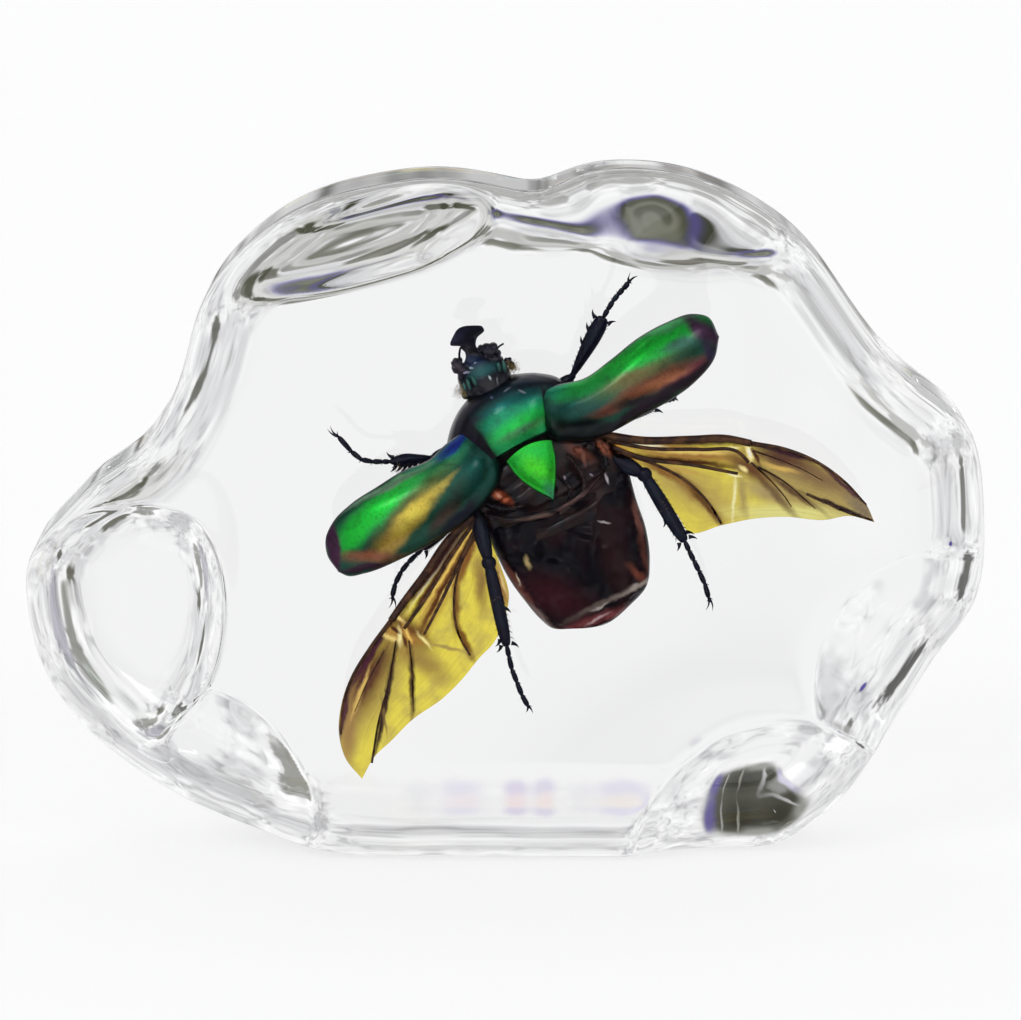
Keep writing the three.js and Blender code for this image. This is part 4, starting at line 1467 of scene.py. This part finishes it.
class SPECIMEN_PG_stage(bpy.types.PropertyGroup):
    """Where the camera stands."""
    elevation: FloatProperty(name="Elevation", description="Camera height as an angle", subtype="ANGLE",
                             default=math.radians(10))
    distance: FloatProperty(name="Distance", description="Camera distance", unit="LENGTH", default=0.6,
                            min=0.1)
    view_width: FloatProperty(name="View Width", description="Width that fills the picture at the block",
                              unit="LENGTH", default=0.1182, min=0.01)


class SPECIMEN_PG_all(bpy.types.PropertyGroup):
    """All settings of the specimen."""
    resin: PointerProperty(type=SPECIMEN_PG_resin)
    beetle: PointerProperty(type=SPECIMEN_PG_beetle)
    stage: PointerProperty(type=SPECIMEN_PG_stage)


def dark_cuticle():
    """The plain cuticle of the legs and feelers, made once."""
    name = "dark_cuticle"
    if name not in bpy.data.materials:
        cuticle_material(name, (0.010, 0.009, 0.028), (0.010, 0.026, 0.045), 0.5, gloss=0.15)
    return bpy.data.materials[name]


class SPECIMEN_OT_resin(bpy.types.Operator):
    """Cast the free-form resin block"""
    bl_idname = "specimen.resin"
    bl_label = "Resin Block"

    def execute(self, context):
        material = resin_material(context.scene.specimen.resin)
        block = add_piece("resin_casting", [block_solid()], material, lean=0.0)
        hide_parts("resin_block")
        return {"FINISHED"}


class SPECIMEN_OT_shells(bpy.types.Operator):
    """Build the neck shield, the scutellum and both wing cases"""
    bl_idname = "specimen.shells"
    bl_label = "Green Shells"

    def execute(self, context):
        settings = context.scene.specimen.beetle
        right, left = case_solid(RIGHT_CASE, RIGHT_LIFT), case_solid(LEFT_CASE, LEFT_LIFT)
        for name, solid, look, ground, strokes, edge in (
            ("pronotum", pronotum_solid(), "pronotum_shell", (0.010, 0.008, 0.024), PRONOTUM_STROKES,
             {"wander": 4.0}),
            ("scutellum", scutellum_solid(), "scutellum_shell", settings.green, SCUTELLUM_STROKES,
             {"rim": 0.05, "wander": 4.0}),
            ("wing_case_right", right, "wing_case_right", (0.012, 0.10, 0.06), RIGHT_CASE_STROKES, {}),
            ("wing_case_left", left, "wing_case_left", (0.01, 0.10, 0.06), LEFT_CASE_STROKES, {}),
        ):
            material = shell_material(look, ground, strokes, settings, **edge)
            add_piece(name, [solid], material)
        return {"FINISHED"}


class SPECIMEN_OT_body(bpy.types.Operator):
    """Build the ringed body behind the neck shield"""
    bl_idname = "specimen.body"
    bl_label = "Body"

    def execute(self, context):
        brown = cuticle_material("thorax_cuticle", (0.008, 0.005, 0.009), (0.04, 0.012, 0.01), 0.8, 0.25,
                                 THORAX_STROKES, gloss=0.3)
        add_piece("thorax", [thorax_solid(), *thorax_ridges()], brown)
        add_piece("abdomen", [abdomen_solid()], abdomen_material())
        return {"FINISHED"}


class SPECIMEN_OT_head(bpy.types.Operator):
    """Build the horned head, its eyes and its feelers"""
    bl_idname = "specimen.head"
    bl_label = "Head"

    def execute(self, context):
        teal = cuticle_material("head_cuticle", (0.012, 0.011, 0.026), (0.02, 0.016, 0.04), 0.7,
                                strokes=HEAD_STROKES, gloss=0.5)
        add_piece("head", head_solids(), teal)
        eyes = cuticle_material("eye_gloss", (0.02, 0.16, 0.13), (0.005, 0.03, 0.03), 0.8, 0.2, gloss=1.0)
        add_piece("eyes", eye_solids(), eyes)
        add_piece("feelers", feeler_solids(), dark_cuticle())
        return {"FINISHED"}


class SPECIMEN_OT_wings(bpy.types.Operator):
    """Build both spread hind wings with their veins"""
    bl_idname = "specimen.wings"
    bl_label = "Hind Wings"

    def execute(self, context):
        settings = context.scene.specimen.beetle
        vein = cuticle_material("wing_vein", (0.06, 0.022, 0.012), (0.20, 0.08, 0.026), 0.8)
        for side, edges, turn, strokes, veins in (
            ("right", RIGHT_WING, 0.4, RIGHT_WING_STROKES, RIGHT_VEINS),
            ("left", LEFT_WING, 2.0, LEFT_WING_STROKES, LEFT_VEINS),
        ):
            membrane = membrane_material("wing_membrane_" + side, strokes, settings)
            add_piece("hind_wing_" + side, [wing_solid(edges, turn)], membrane)
            add_piece("veins_" + side, vein_solids(veins, edges, turn), vein)
        return {"FINISHED"}


class SPECIMEN_OT_legs(bpy.types.Operator):
    """Build the six legs"""
    bl_idname = "specimen.legs"
    bl_label = "Legs"

    def execute(self, context):
        for name, parts in LEGS.items():
            add_piece(name, leg_solids(*parts), dark_cuticle())
        return {"FINISHED"}


class SPECIMEN_OT_hair(bpy.types.Operator):
    """Plant the hair tufts"""
    bl_idname = "specimen.hair"
    bl_label = "Hair"

    def execute(self, context):
        straw, tree, shader = finish("fine_hair", (0.5, 0.36, 0.12), roughness=0.45)
        outputs = placed(tree, mottling(), Colour=(0.55, 0.4, 0.13, 1), Patch_Colour=(0.25, 0.15, 0.05, 1),
                         Scale=900.0, Amount=0.8)
        tree.links.new(outputs["Colour"], shader.inputs["Base Color"])
        add_piece("hair_tufts", tuft_solids(context.scene.specimen.beetle.hairs), straw)
        return {"FINISHED"}


class SPECIMEN_OT_stage(bpy.types.Operator):
    """Set up the light tent, the table, the scenery card and the camera"""
    bl_idname = "specimen.stage"
    bl_label = "Stage"

    def execute(self, context):
        scene = context.scene
        scene.view_settings.view_transform = "Standard"
        scene.cycles.max_bounces = 20  # rays that the resin turns back many times would end black
        scene.cycles.glossy_bounces = 10
        scene.cycles.transmission_bounces = 12
        light_tent(scene)
        table_top(scene)
        scenery_card(scene)
        camera_stand(scene, scene.specimen.stage)
        return {"FINISHED"}


OPERATORS = (SPECIMEN_OT_resin, SPECIMEN_OT_shells, SPECIMEN_OT_body, SPECIMEN_OT_head, SPECIMEN_OT_wings,
             SPECIMEN_OT_legs, SPECIMEN_OT_hair, SPECIMEN_OT_stage)


class SPECIMEN_PT_panel(bpy.types.Panel):
    """Lists the specimen's settings and operators"""
    bl_idname = "SPECIMEN_PT_panel"
    bl_label = "Specimen"
    bl_space_type = "VIEW_3D"
    bl_region_type = "UI"
    bl_category = "Specimen"

    def draw(self, context):
        settings = context.scene.specimen
        for part in (settings.resin, settings.beetle, settings.stage):
            for key in part.__annotations__:
                self.layout.prop(part, key)
        for operator in OPERATORS:
            self.layout.operator(operator.bl_idname)


CLASSES = (SPECIMEN_PG_resin, SPECIMEN_PG_beetle, SPECIMEN_PG_stage, SPECIMEN_PG_all, *OPERATORS,
           SPECIMEN_PT_panel)


def register():
    for cls in CLASSES:
        bpy.utils.register_class(cls)
    bpy.types.Scene.specimen = PointerProperty(type=SPECIMEN_PG_all)


def unregister():
    del bpy.types.Scene.specimen
    for cls in reversed(CLASSES):
        bpy.utils.unregister_class(cls)


def main():
    register()
    bpy.ops.specimen.resin()
    bpy.ops.specimen.shells()
    bpy.ops.specimen.body()
    bpy.ops.specimen.head()
    bpy.ops.specimen.wings()
    bpy.ops.specimen.legs()
    bpy.ops.specimen.hair()
    bpy.ops.specimen.stage()


if __name__ == "__main__":
    main()
